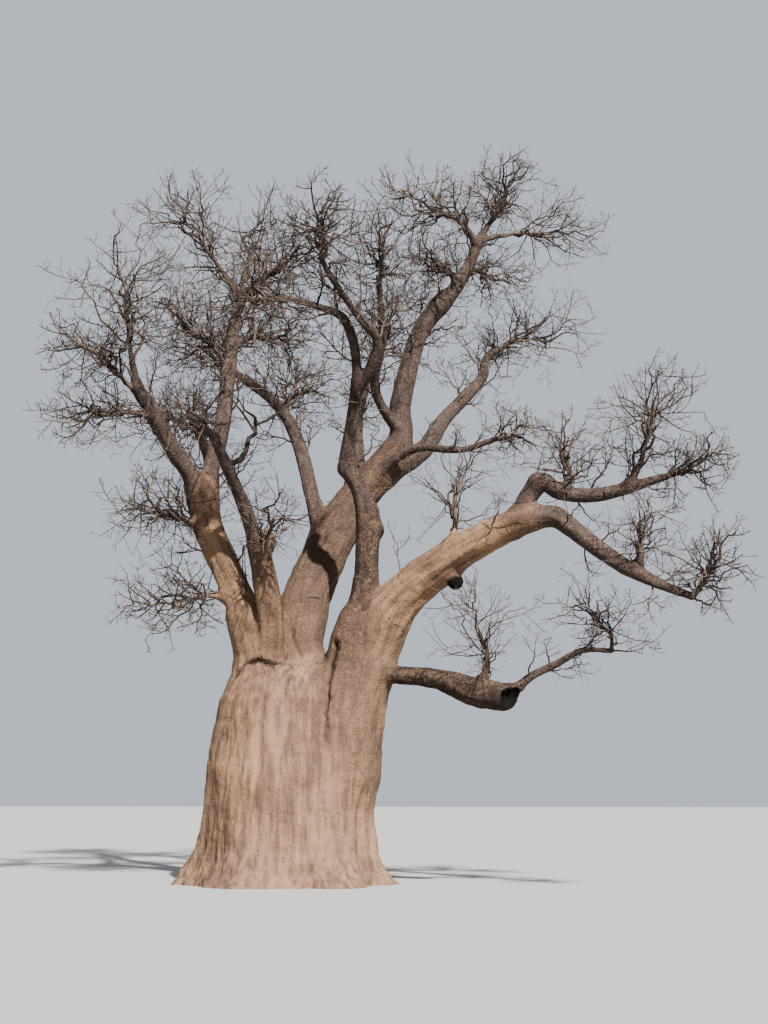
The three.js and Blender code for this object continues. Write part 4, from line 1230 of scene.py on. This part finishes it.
def limb_branches(first_number, thick, tip):
    """Branches that stand straight off the boughs all the way along, each a part of the nearest mass."""
    made = []
    for limb, (first, last, count, length) in LEAFY.items():
        course, radii = limb_courses[limb]
        number = first_number + np.arange(count)
        limb_number = list(LIMBS).index(limb) + len(MASSES)
        foot = np.arange(count) + BOUGH_FOOT * chance(limb_number, number, DRAWS["bough_foot"])
        share = first + (last - first) * foot / count
        point, along = place_on(np.repeat(course[None], count, axis=0), share)
        side, other = sides_of(along)
        turn = seeded_turn(limb_number, first_number, "bough_turn")
        turn = (turn + np.arange(count) * GOLDEN_ANGLE)[:, None]
        heading = along * BOUGH_AHEAD + side * np.cos(turn) + other * np.sin(turn)
        heading = unit(heading + np.array((0, 0, BOUGH_RISE)))
        if last == 1:
            point[-1] = course[-1]
            heading[-1] = unit(course[-1] - course[-2] + TIP_TURN * heading[-1])
            share[-1] = 1
        limb_thick = thick_at(radii, share)
        whole = limb_thick + length * seeded(BOUGH_LENGTH, limb_number, number, "bough_length")
        ends = point + heading * whole[:, None]
        mass = np.linalg.norm((ends[:, None] - mass_middle) / mass_half, axis=2).argmin(axis=1)
        of_limb, rooms, widest = (np.full(count, value) for value in (limb_number, LIMB_REACH, thick))
        first_step = (limb_thick + thick + FIRST_MARGIN) / FIRST_LEAN
        paths = []
        for shorter in BOUGH_TRIES:
            step = np.maximum(whole * shorter / BOUGH_SPANS, SHORTEST_STEP)
            path = wander(point, heading, step, BOUGH_SPANS, BOUGH_CROOK, BOUGH_LIFT, of_limb, number)
            path[:, 1:] += (heading * (first_step - step)[:, None])[:, None]
            paths.append(path)
        own_number = number + LIMB_NUMBER_STEP * limb_number
        size = fullness[mass]
        twigs = Twigs(mass, own_number, None, thick * size, tip * size, rooms)
        made.append(first_that_fits(twigs, paths, widest))
    return joined(made)


# Two stouter branches of the middle bough, which hook back over it.
HOOKED = [
    # radius at the foot and the tip, way
    (0.085, 0.05, [
        (-1.2, -3.0, 10.7), (-0.8, -2.4, 11.25), (-0.7, -1.9, 11.75), (-0.8, -1.5, 12.2),
        (-1.1, -0.9, 12.7), (-1.5, -0.1, 13.3),
    ]),
    (0.06, 0.03, [
        (-1.4, -3.6, 11.35), (-1.62, -3.8, 11.45), (-1.7, -3.8, 11.7), (-1.55, -3.7, 12.05),
        (-1.35, -3.5, 12.45), (-1.25, -3.3, 12.85),
    ]),
]
HOOKED_NUMBER = 13
HOOKED_REACH = 4.0


def smoothed(twigs, spans, gnarl):
    """Twigs with finer paths, knocked a little out of line between their ends."""
    path = smooth_way(twigs.path, np.linspace(0, 1, spans + 1))
    step = np.linalg.norm(path[:, -1] - path[:, 0], axis=1) / spans
    for i in range(1, spans):
        path[:, i] += nudge(twigs.mass, twigs.number, DRAWS["gnarl"] + 3 * i, gnarl * step)
    return twigs._replace(path=path)


SMOOTH_SPANS = 9
# How much further out than the branches that bear them side twigs may stand, and how fine a branch is drawn
# out to its tip.
SHOOT_ROOM = 1.25
BRANCH_END = 0.45

stem_paths = np.stack([stem[0] for stem in stems])
stem_thick = np.array([stem[1] for stem in stems])
ones = np.ones(len(seeds))
stem_twigs = Twigs(seeds, STEM_NUMBER * ones.astype(int), stem_paths, stem_thick, STEM_TIP * ones, ones)
main_branches = branches(5, first_number=16, last_ahead=-0.5, thick=0.055, tip=0.024)
more_branches = branches(
    6, first_number=21, first_ahead=0.8, last_ahead=-0.8, turned=1.1, thick=0.038, tip=0.017, vary=0.16,
    room=1.12, crook=0.17, lowest=0.1,
)
source_twigs = side_twigs(
    main_branches, spans=2, length_share=0.55, spread=0.85, lift=0.2, crook=0.3, foot=(0.35, 0.3)
)
stem_twigs = smoothed(stem_twigs, SMOOTH_SPANS, gnarl=0.15)
hooked_thick, hooked_tip, hooked_path = (np.array(values) for values in zip(*HOOKED))
hooked_branches = Twigs(
    np.full(len(HOOKED), mass_names.index("middle_bough_twigs")),
    HOOKED_NUMBER + np.arange(len(HOOKED)),
    hooked_path,
    hooked_thick,
    hooked_tip,
    np.full(len(HOOKED), HOOKED_REACH),
)
all_branches = joined([main_branches, more_branches])
all_branches = all_branches._replace(room=all_branches.room * SHOOT_ROOM)
all_branches = joined([
    smoothed(all_branches, SMOOTH_SPANS, gnarl=0.42),
    smoothed(limb_branches(first_number=33, thick=0.038, tip=0.016), SMOOTH_SPANS, gnarl=0.3),
    smoothed(hooked_branches, SMOOTH_SPANS, gnarl=0.25),
])
first_twigs = joined([
    offshoots(
        stem_twigs, count=3, start=0.35, spread=1.0, length_share=0.42, spans=4, crook=0.26, lift=0.12,
        thick_share=0.42, least=0.014,
    ),
    offshoots(
        all_branches, count=7, start=0.18, spread=1.0, length_share=0.42, spans=4, crook=0.2, lift=0.1,
        thick_share=0.58, least=0.0115,
    ),
    smoothed(source_twigs, 4, gnarl=0.55),
])
second_twigs = offshoots(
    first_twigs, count=5, start=0.2, spread=1.0, length_share=0.42, spans=3, crook=0.2, lift=0.14,
    thick_share=0.62, least=0.0078,
)
third_twigs = offshoots(
    second_twigs, count=2, start=0.3, spread=0.9, length_share=0.45, spans=2, crook=0.24, lift=0.2,
    thick_share=0.72, least=0.0052,
)
all_branches = all_branches._replace(tip=all_branches.tip * BRANCH_END)
twig_levels = [stem_twigs, all_branches, first_twigs, second_twigs, third_twigs]
# Each level's stoutness: 0, 1 or 2 for stout, middle or fine twigs, which have their own numbers of sides.
LEVEL_STOUTNESS = [0, 0, 1, 2, 2]
TWIG_SIDES = {"stout_sides": 7, "middle_sides": 4, "fine_sides": 3}
TWIG_ROUGHNESS = 0.9
TWIG_SHINE = 0.1

tubes, tubes_in, tubes_out = nodes_tree("twig_tubes", **TWIG_SIDES)
stoutness = stored(tubes, "stoutness", "INT")
thick = stored(tubes, "thick")
tone = stored(tubes, "tone", "INT")
rounds = add_node(tubes, "GeometryNodeJoinGeometry")
for k, sides in enumerate(TWIG_SIDES):
    chosen = add_node(tubes, "FunctionNodeCompare", {2: stoutness, 3: k}, data_type="INT", operation="EQUAL")
    inputs = {"Mesh": tubes_in.outputs["Geometry"], "Selection": chosen.outputs[0]}
    lines = add_node(tubes, "GeometryNodeMeshToCurve", inputs).outputs[0]
    section = add_node(tubes, "GeometryNodeCurvePrimitiveCircle", {"Resolution": tubes_in.outputs[sides]})
    inputs = {"Curve": lines, "Profile Curve": section.outputs[0], "Scale": thick, "Fill Caps": True}
    round_lines = add_node(tubes, "GeometryNodeCurveToMesh", inputs)
    tubes.links.new(round_lines.outputs[0], rounds.inputs[0])
smooth = add_node(tubes, "GeometryNodeSetShadeSmooth", {"Geometry": rounds.outputs[0]})
made = add_node(tubes, "GeometryNodeRealizeInstances", {"Geometry": smooth.outputs[0]}).outputs[0]
TWIG_TONES = {
    "pale_twig": (0.07, 0.05, 0.039, 1),
    "brown_twig": (0.033, 0.0235, 0.0185, 1),
    "dark_twig": (0.016, 0.0115, 0.0095, 1),
}
for k, (name, colour) in enumerate(TWIG_TONES.items()):
    material = matt_finish(name, TWIG_ROUGHNESS, TWIG_SHINE, colour)
    chosen = add_node(tubes, "FunctionNodeCompare", {2: tone, 3: k}, data_type="INT", operation="EQUAL")
    inputs = {"Geometry": made, "Selection": chosen.outputs[0], "Material": material}
    made = add_node(tubes, "GeometryNodeSetMaterial", inputs).outputs[0]
tubes.links.new(made, tubes_out.inputs[0])

TWIG_PIECES = {
    "left_twigs": [
        "left_low_twigs", "left_far_twigs", "left_upper_twigs",
        "left_inner_twigs", "left_side_twigs", "left_stem_twigs",
    ],
    "left_crown_twigs": [
        "crown_left_twigs", "crown_back_twigs", "crown_middle_twigs",
        "tall_bough_twigs", "middle_bough_twigs", "middle_stem_twigs",
    ],
    "leader_twigs": [
        "leader_left_twigs", "leader_top_twigs", "leader_right_twigs",
        "leader_under_twigs", "leader_inner_twigs",
    ],
    "front_twigs": [
        "front_top_twigs", "front_left_twigs", "side_bough_twigs", "thin_bough_twigs", "right_bough_twigs",
    ],
    "back_twigs": ["back_top_twigs", "back_left_twigs", "arch_end_twigs", "arch_middle_twigs"],
    "arm_twigs": [
        "arm_first_twigs", "arm_second_twigs", "arm_upper_twigs",
        "arm_end_twigs", "lower_arm_twigs", "lower_arm_end_twigs",
    ],
    "lowest_twigs": ["low_arm_twigs", "low_arm_end_twigs"],
}


def twig_lines(name, masses):
    """The middle lines of the twigs of some masses, with each point's radius, stoutness and tone."""
    wanted = [mass_names.index(mass) for mass in masses]
    points, edges, thick, stout, tones = [], [], [], [], []
    count = 0
    for stoutness, twigs in zip(LEVEL_STOUTNESS, twig_levels):
        chosen = np.isin(twigs.mass, wanted)
        path = twigs.path[chosen]
        n, length = path.shape[:2]
        taper = np.linspace(0, 1, length)
        index = count + np.arange(n * length).reshape(n, length)
        points.append(path.reshape(-1, 3))
        edges.append(np.stack([index[:, :-1].ravel(), index[:, 1:].ravel()], axis=1))
        thick.append((twigs.thick[chosen, None] * (1 - taper) + twigs.tip[chosen, None] * taper).ravel())
        stout.append(np.full(n * length, stoutness))
        tone = chance(twigs.mass[chosen], twigs.number[chosen], DRAWS["tone"]) * len(TWIG_TONES)
        tones.append(np.repeat(tone.astype(int), length))
        count += n * length
    mesh = bpy.data.meshes.new(name)
    mesh.vertices.add(count)
    mesh.vertices.foreach_set("co", np.vstack(points).astype(np.float32).ravel())
    edges = np.vstack(edges)
    mesh.edges.add(len(edges))
    mesh.edges.foreach_set("vertices", edges.astype(np.int32).ravel())
    store(mesh, "thick", "FLOAT", np.concatenate(thick))
    store(mesh, "stoutness", "INT", np.concatenate(stout))
    store(mesh, "tone", "INT", np.concatenate(tones))
    return placed(name, mesh)


for name, masses in TWIG_PIECES.items():
    piece = run_nodes(twig_lines(name, masses), tubes, name)
    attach(piece, "root")
    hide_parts(*masses)


# Floor and light
# A plain pale floor in pale, even light from all round. One strong warm light from the front, high on the
# right, throws the tree's own shadows.
FLOOR_HALF = 260.0
FLOOR_COLOUR = (0.225, 0.221, 0.214, 1)
FLOOR_ROUGHNESS = 0.95
FLOOR_SHINE = 0.5
SUN_FROM = Vector((0.45, -0.89, 0.84))
SUN_STRENGTH = 22.0
SUN_SPREAD = math.radians(1.5)
SUN_COLOUR = (1.0, 0.965, 0.92)
EVEN_COLOUR = (0.83, 0.9, 1.0, 1)
EVEN_STRENGTH = 0.75

corners = [(-1, -1), (1, -1), (1, 1), (-1, 1)]
floor = mesh_object("floor", [(x * FLOOR_HALF, y * FLOOR_HALF, 0) for x, y in corners], [(0, 1, 2, 3)])
floor.data.materials.append(matt_finish("pale_floor", FLOOR_ROUGHNESS, FLOOR_SHINE, FLOOR_COLOUR))

sun = placed("sun", bpy.data.lights.new("sun", "SUN"))
sun.data.energy = SUN_STRENGTH
sun.data.angle = SUN_SPREAD
sun.data.color = SUN_COLOUR
sun.rotation_euler = (-SUN_FROM).to_track_quat("-Z", "Y").to_euler()

even_light = bpy.data.worlds.new("even_light")
even_light.use_nodes = True
even_light.node_tree.nodes["Background"].inputs["Color"].default_value = EVEN_COLOUR
even_light.node_tree.nodes["Background"].inputs["Strength"].default_value = EVEN_STRENGTH
bpy.context.scene.world = even_light
